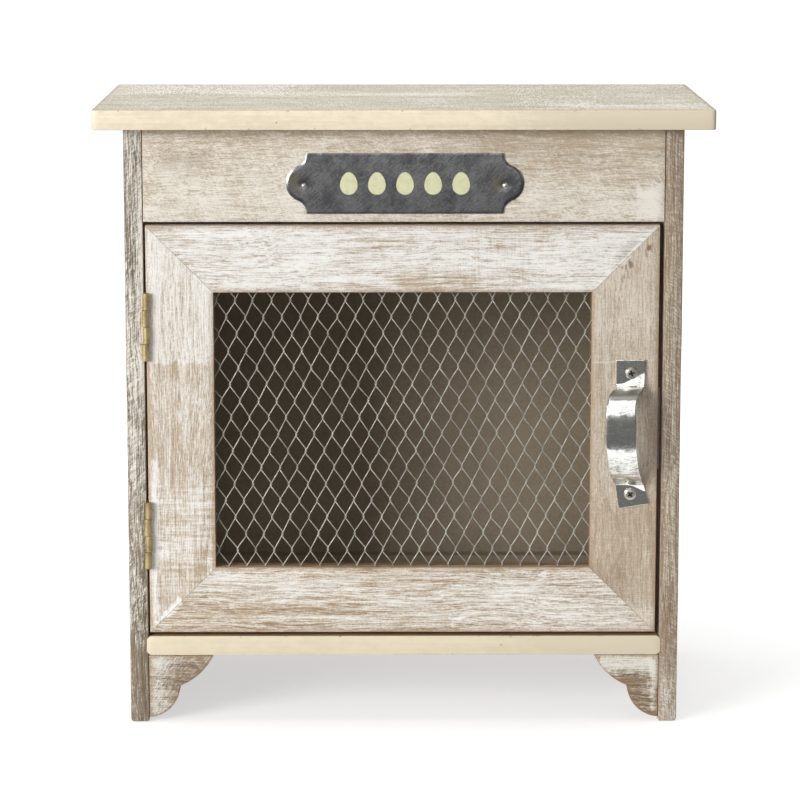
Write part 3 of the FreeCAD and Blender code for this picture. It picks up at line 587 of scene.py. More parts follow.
# The boards. A patch is its amount, centre and half size, then its softness, its raggedness and its tilt
fascia_finish = limed_wood(
    "limed_fascia", LEVEL, (3, 1, 2), 0.46, (204, 188, 164), (182, 163, 140), (240, 234, 222),
    contrast=0.85, cross=0.35, drawn=0.3, coarse=0.8, slant=0.5, length=0.4, rubbed=0.6,
    patches=[(-0.25, (95, 306), (60, 9), 12), (0.25, (-90, 285), (40, 14), 14),
             # The thin full-width band of less wash along the top, at (0, 314), is painted shade under the
             # top board's overhang.
             (-0.25, (0, 314), (140, 3), 5), (0.2, (95, 277), (40, 7), 8),
             (0.5, (127, 278), (6, 7), 4, 12), (0.12, (0, 270), (140, 2.5), 4)],
    stains=[(0.35, (-114, 299), (12, 4), 6, 12), (0.15, (60, 306), (40, 5), 8, 14)])
top_rail_finish = limed_wood(
    "limed_top_rail", LEVEL, (1, 4, 7), 0.66, TAN, TAN_DARK, WASH,
    patches=[(0.15, (-70, 250), (40, 12), 12), (-0.4, (18, 235), (20, 4), 4), (0.2, (90, 240), (20, 8), 8),
             (0.5, (117, 250.3), (8, 0.5), 0.6, 5, MITRE)],
    crossed=[(0.3, (50, 248), (30, 16), 10)], stains=[(0.25, (116, 253), (7, 2), 2, 6, MITRE)])
bottom_rail_finish = limed_wood(
    "limed_bottom_rail", LEVEL, (6, 2, 1), 0.46, (208, 187, 157), (152, 126, 97), (246, 244, 238),
    patches=[(-0.2, (-80, 58), (45, 6), 8), (0.15, (-70, 76), (38, 5), 6, 10, -0.15),
             (0.12, (75, 66), (45, 14), 14), (0.5, (-124, 59.5), (9, 1.2), 1, 6, MITRE)])
left_stile_finish = limed_wood(
    "limed_left_stile", UPRIGHT, (2, 8, 5), 0.4, TAN, TAN_DARK, (243, 240, 234),
    contrast=0.7, coarse=1.6,
    patches=[(0.34, (-116, 230), (40, 37), 1.2, 6), (0.4, (-131.5, 100), (2.5, 42), 2, 6),
             (0.14, (-116, 108), (16, 22), 10), (0.7, (-124, 60.5), (9, 1), 1, 6, MITRE)],
    crossed=[(0.7, (-114, 100), (22, 28), 12)])
right_stile_finish = limed_wood(
    "limed_right_stile", UPRIGHT, (9, 3, 4), 0.45, (200, 183, 160), (170, 150, 127), (227, 217, 202),
    contrast=0.7, cross=0.2, coarse=0.8, drawn=0.4, length=0.5,
    patches=[(0.2, (112, 240), (14, 30), 14), (0.4, (124, 58), (12, 5), 5), (-0.3, (112, 95), (20, 24), 16),
             (0.5, (104, 193.5), (7, 0.3), 0.5, 0.6), (0.8, (114.5, 246.2), (5, 0.5), 0.5, 4, MITRE)],
    crossed=[(0.15, (112, 205), (20, 14), 8), (0.35, (114, 85), (20, 35), 12)],
    stains=[(0.6, (125.4, 251.5), (0.2, 2.5), 0.5, 3, 0.3), (0.8, (127, 253.6), (0.9, 1.2), 0.7, 4, -0.2),
            (0.5, (128.4, 253.2), (0.4, 1.8), 0.5, 3, 0.1), (0.5, (113.2, 238.8), (0.15, 3), 0.5, 3, 0.1),
            (0.65, (114.8, 241), (0.4, 3.4), 0.6, 4, -0.15), (0.4, (116.6, 239), (0.15, 3.8), 0.4, 3, 0.25),
            (0.7, (118.2, 245), (0.9, 1.6), 0.7, 4, 0.2), (0.4, (112.4, 243.4), (1.2, 0.4), 0.6, 4),
            (0.25, (110, 75), (12, 10), 8, 14)])
left_side_finish = limed_wood(
    "limed_left_side", UPRIGHT, (4, 6, 9), 0.52, GREY, GREY_DARK, (238, 233, 222),
    contrast=1.3, cross=0.7, slant=0.75, drawn=SHORT, rubbed=0.3,
    patches=[(0.45, (-136, 236), (2, 60), 2, 6), (-0.3, (-144, 280), (3, 34), 3, 6),
             (-0.25, (-140, 120), (8, 60), 30), (-0.8, (-140, 20), (8, 26), 10)])
right_side_finish = limed_wood(
    "limed_right_side", UPRIGHT, (5, 1, 3), 0.22, (174, 154, 130), (134, 115, 94), CHALK,
    contrast=0.7, cross=0.8, slant=-0.6, drawn=SHORT, rubbed=0.7,
    patches=[(0.3, (140, 14), (8, 20), 10), (-0.1, (140, 270), (8, 34), 16)],
    stains=[(0.4, (139, 50), (3, 26), 3, 8)])
side_face_finish = limed_wood(
    "limed_side_face", UPRIGHT, (6, 4, 8), 0.42, (190, 173, 149), (146, 128, 106), (236, 231, 220),
    contrast=0.75, cross=0.15, coarse=1.4, drawn=0.5)
left_bracket_finish = limed_wood(
    "limed_left_bracket", LEVEL, (7, 5, 2), 0.12, (158, 138, 114), (118, 100, 80), (222, 218, 208),
    contrast=0.5, cross=0.8, slant=-0.6, drawn=SHORT,
    patches=[(0.5, (-131, 18), (6, 20), 7, 10), (0.25, (-116, 34), (14, 2), 3, 6)])
right_bracket_finish = limed_wood(
    "limed_right_bracket", LEVEL, (7, 5, 2), 0.1, (160, 138, 112), (118, 98, 78), (228, 224, 212),
    contrast=0.9, cross=0.3, slant=-0.6, drawn=SHORT,
    patches=[(0.75, (112, 32), (24, 6), 4, 10), (0.6, (133, 24), (3, 18), 3, 16),
             (-0.3, (118, 20), (5, 6), 5, 8)])
top_face_finish = limed_wood(
    "limed_top_face", LEVEL, (8, 7, 6), 0.38, (206, 198, 178), (180, 170, 148), (250, 246, 235),
    contrast=0.5, cross=0.6, slant=0.12, coarse=0.9, drawn=0.5, lying=True,
    patches=[(0.3, (-110, 55), (45, 30), 20, 20), (0.3, (118, -60), (36, 10), 12, 20),
             (0.3, (-20, 20), (60, 10), 10, 20)],
    crossed=[(1.0, (-105, 50), (45, 36), 15), (1.2, (66, 10), (9, 90), 6),
             (0.4, (120, 10), (40, 80), 20)])
UNWASHED = (-0.35, (180, 152, 120), (138, 110, 82), (206, 186, 160))
bare_level = limed_wood("bare_wood_level", LEVEL, (2, 2, 9), *UNWASHED, contrast=0.6)
bare_upright = limed_wood("bare_wood_upright", UPRIGHT, (5, 9, 1), *UNWASHED, contrast=0.6)


def painted_edge(name, paint, shade):
    finish, shader, place = new_finish(name, Specular_IOR_Level=0.4)
    made = use_group(BRUSHED_PAINT, Strokes=place, Arris=worn_arris(shader), Paint=tint(paint),
                     Shade=tint(shade), Under=tint((120, 98, 74)))
    hook_up(shader, made, 0.15, 0.2 * MM)
    return finish


cream_edge = painted_edge("cream_edge_paint", (245, 231, 205), (224, 211, 186))
cream_floor_edge = painted_edge("cream_floor_edge_paint", (228, 215, 188), (217, 205, 180))


def metal_finish(name, bright, dull, smooth, rough, metallic=1.0, tarnish=0.5, clouding=1.0, wiping=0.3,
                 scratching=0.6, bump=0.1, turn=0.0, dulled=(), stains=()):
    """Aged metal; dulled patches are tarnished, stains are olive (on the zinc plate partly a painted
    reflection), and the turn lays the scratches over.
    """
    finish, shader, place = new_finish(name, Metallic=metallic)
    made = use_group(AGED_METAL, Place=scaled(place, turn=(0, turn, 0)),
                     Tarnish=with_patches(tarnish, place, dulled, depth=25), Clouding=clouding,
                     Wiping=wiping, Scratching=scratching, Bright=tint(bright), Dull=tint(dull),
                     Smooth=smooth, Rough=rough)
    hook_up(shader, made, bump, 0.1 * MM)
    stain_over(shader, made["Colour"], place, stains, (140, 132, 92))
    return finish


zinc = metal_finish(
    "dull_zinc", (174, 174, 175), (84, 84, 86), 0.18, 0.34,
    tarnish=0.55, clouding=0.6, wiping=0.25, scratching=0.4, bump=0.12,
    # Olive patches by the nails: on the left tab a painted reflection of the wood, by the right nail an
    # olive mark.
    stains=[(0.6, (-57, 288), (2.5, 4), 3, 4), (0.6, (48.5, 287), (2.5, 3), 2.5, 4)])
handle_steel = metal_finish(
    "bright_strip_steel", (244, 244, 240), (148, 147, 140), 0.09, 0.4,
    tarnish=0.2, clouding=0.9, wiping=0.6, scratching=0.5, turn=-0.6,
    dulled=[(1.0, (118, 178), (14, 1.9), 1, 1.5), (0.45, (119, 131), (14, 2.2), 1.5, 2),
            (0.7, (118, 163), (14, 4), 3, 9), (0.2, (118, 155), (14, 5), 3, 9),
            (0.3, (119, 140.5), (14, 4), 4, 8), (0.25, (119, 190), (9, 4), 3, 8)])
screw_steel = metal_finish(
    "screw_steel", (206, 203, 194), (160, 156, 146), 0.3, 0.45, metallic=0.85)
brass = metal_finish(
    "old_brass", (196, 178, 130), (140, 122, 82), 0.42, 0.6, metallic=0.5, clouding=0.9, wiping=0.1)
galvanised = metal_finish(
    "galvanised_wire", (186, 183, 172), (140, 137, 127), 0.36, 0.52, metallic=0.4, scratching=0.2)
plain_steel = metal_finish("plain_steel", (206, 206, 204), (160, 158, 154), 0.26, 0.44)


def fibre_board():
    finish, shader, place = new_finish("brown_hardboard", Specular_IOR_Level=0.25)
    speckle = noise(place, scale=900, detail=3, roughness=0.7)
    cloud = noise(place, scale=14, detail=3)
    mottled = fade(total(swing((speckle, 1.2)), cloud), 0.2, 0.8)
    made = {"Colour": mixed(mottled, tint((142, 130, 111)), tint((164, 151, 131))),
            "Roughness": fade(speckle, 0.2, 0.8, 0.55, 0.8), "Height": speckle}
    hook_up(shader, made, 0.2, 0.2 * MM)
    return finish


def moulded(name, colour, shade):
    finish, shader, place = new_finish(name)
    dust = noise(place, scale=300, detail=4)
    feed(shader.inputs["Base Color"], mixed(fade(dust, 0.3, 0.8), tint(colour), tint(shade)))
    feed(shader.inputs["Roughness"], fade(dust, 0.2, 0.8, 0.35, 0.55))
    return finish


hardboard = fibre_board()
catch_plastic = moulded("catch_plastic", (232, 230, 222), (212, 208, 198))
magnet_ferrite = moulded("magnet_ferrite", (52, 52, 54), (38, 38, 40))
# Near-black brown laid in the screws' cross recesses: painted shade in the recess.
recess_painted_shade = moulded("recess_painted_shade", (60, 54, 46), (40, 36, 30))
egg_paint = moulded("egg_paint", (224, 224, 184), (208, 206, 166))


# Case boards
def worn_case():
    def plan_corner(edge):
        return runs_along(edge, Z_AXIS)

    top = worn_board("top_board", arris=0.7 * MM, rounds=[(plan_corner, 2.5 * MM)])
    dress(top, [cream_edge, top_face_finish], "cabinet", "cream_painted_wood", "top_board")
    second_finish(top, lambda face: abs(face.normal.z) > 0.8)

    def end_corner(edge):
        return runs_along(edge, Y_AXIS)

    floor = worn_board("bottom_board", arris=0.4 * MM, hollow=0.15 * MM, rounds=[(end_corner, 2.9 * MM)])
    dress(floor, [bare_level, cream_floor_edge], "cabinet", "cream_painted_wood", "bottom_board")
    painted_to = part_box("bottom_board")[0].y + 1.2 * MM
    second_finish(floor, lambda face: face.center.y < painted_to)

    fascia = worn_board("fascia_board", arris=0.3 * MM)
    dress(fascia, fascia_finish, "cabinet", "limed_wood", "fascia_board")

    for side, finish in (("left", left_side_finish), ("right", right_side_finish)):
        node = f"{side}_side_panel"
        low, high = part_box(node)
        outer = low.x if side == "left" else high.x

        def foot_edge(edge):
            return runs_along(edge, Y_AXIS) and abs(middle(edge).x - outer) < MM and middle(edge).z < MM

        panel = worn_board(node, arris=0.9 * MM, hollow=0.35 * MM, rounds=[(foot_edge, 2 * MM)],
                           set_back=0.25 * MM)
        dress(panel, [finish, side_face_finish], "cabinet", "limed_wood", node)
        second_finish(panel, lambda face: abs(face.normal.x) > 0.9)


def foot_brackets():
    """The brackets keep their solids' outline, freed of its many small facets."""
    for side, finish in (("left", left_bracket_finish), ("right", right_bracket_finish)):
        node = f"{side}_foot_bracket"
        bracket = copy_of(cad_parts[node])
        called("worn_" + node)
        bracket.parent = None
        settle(bracket)
        shape_it()
        pick_all()
        bpy.ops.mesh.remove_doubles(threshold=0.01 * MM)
        bpy.ops.mesh.dissolve_limited(angle_limit=math.radians(1))
        cross_cuts(*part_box(node), 4 * MM)
        wear_down(bracket, 0.5 * MM, 0.25 * MM)
        dress(bracket, finish, "cabinet", "limed_wood", node)


# Door frame
DOOR_CENTRE = (DOOR_LOW + DOOR_HIGH) / 2
DOOR_REACH = (DOOR_HIGH - DOOR_LOW) / 2


def sink_leaf(hinge):
    """Cuts the seat of a hinge's leaf into the stile's edge."""
    low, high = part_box(f"{hinge}_hinge_door_leaf")
    saw((0, 0, low.z), (0, 0, 1))
    saw((0, 0, high.z), (0, 0, 1))
    saw((0, high.y, 0), (0, 1, 0))

    def leaf_seat(face):
        spot = face.calc_center_median()
        return face.normal.x < -0.9 and low.z < spot.z < high.z and spot.y < high.y

    pick("FACE", leaf_seat)
    pull(0.8 * MM, 0, 0)


def on_mitre(edge):
    def off_mitre(spot):
        return abs(spot.x - DOOR_CENTRE.x) - DOOR_REACH.x - abs(spot.z - DOOR_CENTRE.z) + DOOR_REACH.z

    return all(abs(off_mitre(corner.co)) < 0.2 * MM for corner in edge.verts)


def mitred_member(node, quarter_turns, half_along, half_across, finish):
    """One member of the door, sawn lying at the bottom and turned to its place."""
    low = Vector((-half_along, FRONT, -half_across))
    high = Vector((half_along, FRONT + LIP, -half_across + MEMBER_WIDTH))
    member = blank_board("worn_" + node, low, high)
    shape_it()
    saw((0, 0, high.z - REBATE), (0, 0, 1))
    pick("FACE", lambda face: face.normal.y > 0.9 and face.calc_center_median().z < high.z - REBATE)
    pull(0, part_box(node)[1].y - (FRONT + LIP), 0)
    gap = 0.02 * MM
    saw((-half_along + gap, 0, -half_across), (-1, 0, 1), drop=True)
    saw((half_along - gap, 0, -half_across), (1, 0, 1), drop=True)
    done_shaping()
    member.rotation_euler = (0, quarter_turns * math.pi / 2, 0)
    member.location = (DOOR_CENTRE.x, 0, DOOR_CENTRE.z)
    settle(member)
    shape_it()
    if node == "door_left_stile":
        for hinge in ("upper", "lower"):
            sink_leaf(hinge)
    cross_cuts(*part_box(node), BOARD_CUTS)
    wear_down(member, 0.35 * MM, 0.15 * MM, crisp=on_mitre)
    dress(member, finish, "door", "limed_wood", node)


def door_frame():
    mitred_member("door_bottom_rail", 0, DOOR_REACH.x, DOOR_REACH.z, bottom_rail_finish)
    mitred_member("door_top_rail", 2, DOOR_REACH.x, DOOR_REACH.z, top_rail_finish)
    mitred_member("door_left_stile", 1, DOOR_REACH.z, DOOR_REACH.x, left_stile_finish)
    mitred_member("door_right_stile", 3, DOOR_REACH.z, DOOR_REACH.x, right_stile_finish)


# Netting: every wire zigzags up the door and twists in turn with the wires to its left and right
def wire_netting():
    pitch, row_rise, lean = 9.62 * MM, 8.86 * MM, -0.36 * MM
    radius, half_twist, tuck = 0.37 * MM, 1.4 * MM, 4 * MM
    low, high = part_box("wire_netting")
    anchor = Vector((-92.8 * MM, (low.y + high.y) / 2, 217.1 * MM))
    sight_left, sight_right = DOOR_LOW.x + MEMBER_WIDTH, DOOR_HIGH.x - MEMBER_WIDTH
    sight_bottom, sight_top = DOOR_LOW.z + MEMBER_WIDTH, DOOR_HIGH.z - MEMBER_WIDTH
    rows = range(-math.ceil((sight_top - sight_bottom) / row_rise) - 1, 5)
    columns = range(-3, 24)
    chance = random.Random(11)
    slips = {}

    def knot(row, column):
        """The middle of a twist, a little out of true as the net was stretched by hand, and its slips."""
        if (row, column) not in slips:
            slips[row, column] = [chance.uniform(-1, 1) for part in range(4)]
        slip = slips[row, column]
        x = anchor.x + pitch * (column + 0.5 * (row % 2)) + row * lean
        z = anchor.z + row_rise * row
        x += 0.5 * MM * math.sin(z / 0.05 + 1.1) * math.sin(x / 0.06)
        z += 0.4 * MM * math.sin(x / 0.045) + 0.25 * MM * slip[1]
        bow = 0.2 * MM * math.sin(x / 0.011 + z / 0.02)
        return Vector((x + 0.3 * MM * slip[0], anchor.y + bow, z)), slip[2], slip[3]

    def twist(row, column, lay):
        """The way of one wire round a twist; under the frame's lip it lies flatter."""
        spot, loose, slant = knot(row, column)
        inside = sight_left < spot.x < sight_right and sight_bottom < spot.z < sight_top
        flat = 1.0 if inside else 0.3
        points = []
        for part in range(6):
            turn = 2 * math.pi * part / 5
            rise = (part / 2.5 - 1) * half_twist * (1 + 0.15 * loose)
            aside = lay * math.cos(turn) * radius + rise * (0.05 + 0.15 * slant)
            points.append(spot + Vector((aside, lay * flat * math.sin(turn) * radius, rise)))
        return points

    curve = bpy.data.curves.new("netting_wires", "CURVE")
    curve.dimensions = "3D"
    curve.bevel_depth = radius
    curve.bevel_resolution = 1
    curve.use_fill_caps = True
    for column in columns:
        for side in (-1, 1):
            points = []
            for row in rows:
                if row % 2 == 0:
                    points += twist(row, column, side)
                else:
                    points += twist(row, column if side > 0 else column - 1, -side)
            spline = curve.splines.new("POLY")
            spline.points.add(len(points) - 1)
            for place, spot in zip(spline.points, points):
                place.co = (*spot, 1)
    net = bpy.data.objects.new("netting_wires", curve)
    bpy.context.scene.collection.objects.link(net)
    take(net)
    bpy.ops.object.convert(target="MESH")
    net = called("netting_wires")
    shape_it()
    saw((sight_left - tuck, 0, 0), (-1, 0, 0), drop=True)
    saw((sight_right + tuck, 0, 0), (1, 0, 0), drop=True)
    saw((0, 0, sight_bottom - tuck), (0, 0, -1), drop=True)
    saw((0, 0, sight_top + tuck), (0, 0, 1), drop=True)
    done_shaping()
    bpy.ops.object.shade_smooth()
    dress(net, galvanised, "door", "galvanised_wire", "wire_netting")


# Zinc plate: a body with a hollowed shoulder and a round tab at each end, dished round its two nails
PLATE_LOW, PLATE_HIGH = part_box("name_plate")
PLATE_CENTRE = (PLATE_LOW + PLATE_HIGH) / 2
PLATE_NAILS = [Vector((PLATE_CENTRE.x + across * MM, 0, PLATE_CENTRE.z - 1.2 * MM))
               for across in (-52, 52)]
BODY_END, BODY_HALF = 50.75 * MM, 15.65 * MM
HOLLOW_END, HOLLOW_CENTRE, HOLLOW_RADIUS = 55.337 * MM, 57.948 * MM, 7.2 * MM
TAB_END, TAB_CENTRE, TAB_RADIUS = 61.45 * MM, 51.858 * MM, 9.594 * MM


def plate_half_height(across):
    """Half the height of the plate at a distance from its middle."""
    if across <= BODY_END:
        return BODY_HALF
    if across <= HOLLOW_END:
        return BODY_HALF - math.sqrt(max(0, HOLLOW_RADIUS ** 2 - (HOLLOW_CENTRE - across) ** 2))
    return math.sqrt(max(0, TAB_RADIUS ** 2 - (across - TAB_CENTRE) ** 2))


def rim_distance(across, up):
    """How far a spot on a tab lies in from the rim; the body's own edges don't count."""
    if across > HOLLOW_END:
        return TAB_RADIUS - math.hypot(across - TAB_CENTRE, up)
    if across > BODY_END:
        return math.hypot(HOLLOW_CENTRE - across, BODY_HALF - up) - HOLLOW_RADIUS
    return BODY_HALF


def zinc_plate():
    steps_out = [BODY_END * part / 40 for part in range(41)]
    for part in range(1, 22):
        steps_out.append(BODY_END + (TAB_END - BODY_END) * math.sin(math.pi / 2 * part / 22))
    steps_out.append(TAB_END - 0.02 * MM)
    columns = [-step_out for step_out in steps_out[:0:-1]] + steps_out

    def dished(across, height):
        """The tabs lean back, their rims are rolled over, and each nail has drawn a dimple."""
        x = PLATE_CENTRE.x + across
        z = PLATE_CENTRE.z + height * plate_half_height(abs(across))
        past = max(0, abs(across) - BODY_END + 2 * MM) / (12.7 * MM)
        rim = rim_distance(abs(across), abs(z - PLATE_CENTRE.z))
        sunk = 0.1 * MM * past ** 2 + 0.36 * MM * max(0, 1 - rim / (1.3 * MM))
        for nail in PLATE_NAILS:
            away = math.hypot(x - nail.x, z - nail.z)
            sunk += 0.3 * MM * math.exp(-((away / (2.4 * MM)) ** 2))
        return (x, PLATE_LOW.y + min(sunk, 0.46 * MM), z)

    plate = pressed_sheet("dished_name_plate", columns, 30, dished)
    pick_all()
    bpy.ops.mesh.remove_doubles(threshold=0.005 * MM)
    bpy.ops.mesh.normals_make_consistent(inside=False)
    shape = bmesh.from_edit_mesh(plate.data)
    shape.normal_update()
    if sum(face.normal.y for face in shape.faces) > 0:
        bpy.ops.mesh.flip_normals()
    done_shaping()
    apply_modifier(plate, "SOLIDIFY", thickness=0.32 * MM, offset=-1)
    soften_sheet(plate, 0.15 * MM, 3)
    dress(plate, zinc, "cabinet", "zinc", "name_plate")
    profile = [(1.7, -0.3), (1.75, 0.1), (1.5, 0.55), (1.0, 0.85), (0.4, 0.98)]
    places = [(Vector((nail.x, PLATE_LOW.y + 0.3 * MM, nail.z)), (0, -1, 0), 0) for nail in PLATE_NAILS]
    nail_heads("plate_nail", profile, 24, places, "zinc", "name_plate_nails")


def painted_eggs():
    """Five plain eggs in pale paint, a film laid on the plate."""
    half_width, half_height, pitch, film = 4.5 * MM, 5.9 * MM, 14.5 * MM, 0.06 * MM
    eggs = []
    for place in range(5):
        nothing_selected()
        bpy.ops.mesh.primitive_circle_add(vertices=36, radius=1, fill_type="NGON")
        egg = called(f"painted_egg_{place + 1}")
        shape_it()
        pick_all()
        pull(0, 0, film)
        bpy.ops.transform.resize(value=(0.98, 0.98, 1))
        face_outwards()
        shape = bmesh.from_edit_mesh(egg.data)
        for corner in shape.verts:
            corner.co.x *= half_width * (1 - 0.16 * corner.co.y)
            corner.co.y *= half_height
        bmesh.update_edit_mesh(egg.data)
        done_shaping()
        egg.rotation_euler = (math.pi / 2, 0, 0)
        egg.location = (PLATE_CENTRE.x + (place - 2) * pitch, PLATE_LOW.y + 0.02 * MM, PLATE_CENTRE.z)
        eggs.append(settle(egg))
    dress(joined(eggs, "painted_eggs"), egg_paint, "cabinet", "zinc")


# Strip handle: one flat bar bent out of the door and back, its lugs not quite flattened by the press
def bent_path(corners, spacing):
    """Points along straight runs with a tangent arc at each inner (place, radius) corner."""
    path = [corners[0][0]]
    for before, (place, radius), after in zip(corners, corners[1:], corners[2:]):
        back, ahead = (before[0] - place).normalized(), (after[0] - place).normalized()
        half = back.angle(ahead) / 2
        centre = place + (back + ahead).normalized() * (radius / math.sin(half))
        start = place + back * (radius / math.tan(half)) - centre
        end = place + ahead * (radius / math.tan(half)) - centre
        parts = max(6, round(start.angle(end) * radius / spacing))
        start, end = start.normalized(), end.normalized()
        path += [centre + radius * start.slerp(end, part / parts) for part in range(parts + 1)]
    path.append(corners[-1][0])
    even = [path[0]]
    for here, there in zip(path, path[1:]):
        parts = max(1, round((there - here).length / spacing))
        even += [here.lerp(there, part / parts) for part in range(1, parts + 1)]
    return even


def strip_handle():
    width, half_strip, splay = 15.3 * MM, 0.6 * MM, 2.1 * MM
    upper_bend, upper_lug, lower_bend, lower_lug = 24.8 * MM, 14.2 * MM, -26.6 * MM, 13.4 * MM
    lean, projection = 6.5 * MM, 18 * MM
    reach = math.hypot(lean, projection)
    grip = reach - 0.75 * MM
    outwards = Vector((-lean, -projection, 0)) / reach
    screws_low, screws_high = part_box("handle_screws")
    hem = Vector(((screws_low.x + screws_high.x - width) / 2, FRONT, (screws_low.z + screws_high.z) / 2))

    def corner(out, up, radius=0):
        return Vector((out, 0, up)), radius

    path = bent_path([
        corner(half_strip, upper_bend + upper_lug),
        corner(half_strip, upper_bend, 2 * MM),
        corner(16.8 * MM, 21.4 * MM, 8 * MM),
        corner(grip, 11.4 * MM, 48 * MM),
        corner(grip, -4.2 * MM, 32 * MM),
        corner(11.3 * MM, -18.9 * MM, 18 * MM),
        corner(half_strip, lower_bend, 2 * MM),
        corner(half_strip, lower_bend - lower_lug),
    ], 0.5 * MM)

    def bent(along, height):
        """Each lug lifts off the door short of its bend, early or late, and the lower one is splayed."""
        across = (height + 1) / 2
        out, up = along.x, along.z
        near_door = max(0, 1 - max(0, out - 2 * half_strip) / (8 * MM))
        early = max(0, upper_bend + (0.3 + 8 * across) * MM - up) if up > 0 else 0
        late = min(9 * MM, max(0, up - lower_bend + (7.5 * across ** 1.5 - 1) * MM)) if up < 0 else 0
        out += 0.2 * near_door * early ** 2 / (early + 1.2 * MM)
        out += 0.3 * near_door * late ** 2 / (late + 2.5 * MM)
        place = hem + outwards * out + Vector((width * across, 0, up))
        if up < lower_bend:
            slide = (lower_bend - up) / lower_lug
            place += Vector((splay * slide, 0, splay * width / lower_lug * slide * across))
        return place

    handle = pressed_sheet("bent_strip_handle", path, 16, bent)
    face_outwards()
    done_shaping()
    apply_modifier(handle, "SOLIDIFY", thickness=2 * half_strip, offset=0)
    soften_sheet(handle, 0.2 * MM, 2)
    dress(handle, handle_steel, "door", "bright_steel", "door_handle")


# Butt hinges: each leaf is a plate that ends in two rolled knuckles; these lengths are millimetres
def butt_hinges():
    pin_x, pin_y, radius, lip = -134.1, -74.8, 1.75, 0.14
    plate_front, plate_thickness, knuckle_gap = pin_y + 0.6, 0.6, 0.2
    length = (35.5 - 3 * knuckle_gap) / 4
    barrel_profile = [(radius - lip, 0), (radius, lip), (radius, length - lip), (radius - lip, length)]
    # The plate's left face, the body, the knuckles counted from below, and how far they sit off the pin
    leaves = {"frame": (-135.0, "cabinet", (0, 2), -0.25), "door": (-133.8, "door", (1, 3), 0.3)}
    for hinge in ("upper", "lower"):
        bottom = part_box(f"{hinge}_hinge_pin")[0].z
        for leaf, (side, body, knuckles, set_over) in leaves.items():
            node = f"{hinge}_hinge_{leaf}_leaf"
            low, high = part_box(node)
            plate_low = Vector((side * MM, plate_front * MM, low.z))
            plate_high = Vector(((side + plate_thickness) * MM, high.y, high.z))
            pieces = [blank_board(node + "_plate", plate_low, plate_high)]
            shape_it()
            pick_all()
            bpy.ops.mesh.bevel(offset=0.12 * MM, segments=2, affect="EDGES")
            done_shaping()
            for index in knuckles:
                barrel = turned(f"{node}_knuckle_{index}", barrel_profile, 24)
                up = bottom + index * (length + knuckle_gap) * MM
                barrel.location = ((pin_x + set_over) * MM, pin_y * MM, up)
                pieces.append(settle(barrel))
            dress(joined(pieces, node + "_rolled"), brass, body, "brass", node)


# Fasteners with their drives
def nail_heads(name, profile, sides, places, slot, node):
    heads = driven_copies(turned(name, profile, sides), name + "_heads", places)
    dress(heads, plain_steel, "cabinet", slot, node)


def cross_recess(head, length, width, depth, top):
    """Cuts a cross into the top of a head, and gives it the second finish."""
    for turn in (0, math.pi / 2):
        nothing_selected()
        bpy.ops.mesh.primitive_cube_add(size=1, location=(0, 0, top), scale=(length, width, 2 * depth))
        bar = bpy.context.object
        bar.rotation_euler = (0, 0, turn)
        settle(bar)
        shape_it()
        pick("FACE", lambda face: face.normal.z < -0.9)
        bpy.ops.transform.resize(value=(0.5, 0.5, 1))
        done_shaping()
        take(head)
        apply_modifier(head, "BOOLEAN", object=bar, operation="DIFFERENCE", solver="EXACT")
        bpy.data.objects.remove(bar)
    take(head)
    smooth_below(30)

    def in_recess(face):
        across = math.hypot(face.center.x, face.center.y)
        return across < 0.55 * length and top - depth - MM < face.center.z < top - 0.15 * MM

    second_finish(head, in_recess)


def handle_screw_heads():
    low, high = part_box("handle_screws")
    x = (low.x + high.x) / 2
    seat, half_head = low.y + 2.2 * MM, 3.2 * MM
    profile = [(1.4, -1.2), (3.0, -0.1), (3.2, 0.25), (3.15, 0.8), (2.95, 1.15), (2.5, 1.42), (1.8, 1.55),
               (0.6, 1.6)]
    head = turned("handle_screw", profile, 32)
    # The second finish is painted shade in the cross recess.
    finishes = [screw_steel, recess_painted_shade]
    for finish in finishes:
        head.data.materials.append(finish)
    cross_recess(head, 4.2 * MM, 1.25 * MM, 1.1 * MM, 1.6 * MM)
    places = [(Vector((x, seat, high.z - half_head)), (0, -1, 0), 0.3),
              (Vector((x, seat, low.z + half_head)), (0, -1, 0), 0.7)]
    heads = driven_copies(head, "handle_screw_heads", places)
    dress(heads, finishes, "door", "bright_steel", "handle_screws")


def back_nail_heads():
    """Round heads that stand proud on the back panel, down both sides and along its foot."""
    low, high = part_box("back_panel_nails")
    half_head = 2.1 * MM
    places = []
    for row in range(5):
        for x in (low.x + half_head, high.x - half_head):
            places.append((Vector((x, high.y, (59 + 61.125 * row) * MM)), (0, 1, 0), row))
    for x in (-67.5, 0, 67.5):
        places.append((Vector((x * MM, high.y, 52 * MM)), (0, 1, 0), x))
    profile = [(1.8, -0.4), (2.1, -0.32), (2.1, -0.15), (1.7, -0.03), (0.5, 0)]
    nail_heads("back_nail", profile, 20, places, "steel", "back_panel_nails")


def case_nail_heads():
    """Round heads sunk flush in the sides, along the bottom board and down the fascia."""
    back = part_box("left_side_panel")[1].y
    inset, bottom, fascia = 24 * MM, 41.75 * MM, -67.75 * MM
    spots = [(FRONT + inset, bottom), ((FRONT + back) / 2, bottom), (back - inset, bottom),
             (fascia, 279.13 * MM), (fascia, 303.38 * MM)]
    places = []
    for side, outer in ((-1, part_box("left_side_panel")[0].x), (1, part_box("right_side_panel")[1].x)):
        places += [(Vector((outer, y, z)), (side, 0, 0), 0) for y, z in spots]
    profile = [(1.3, -0.6), (1.55, -0.5), (1.55, -0.12), (1.3, -0.02), (0.4, 0)]
    nail_heads("case_nail", profile, 20, places, "steel", "case_nails")


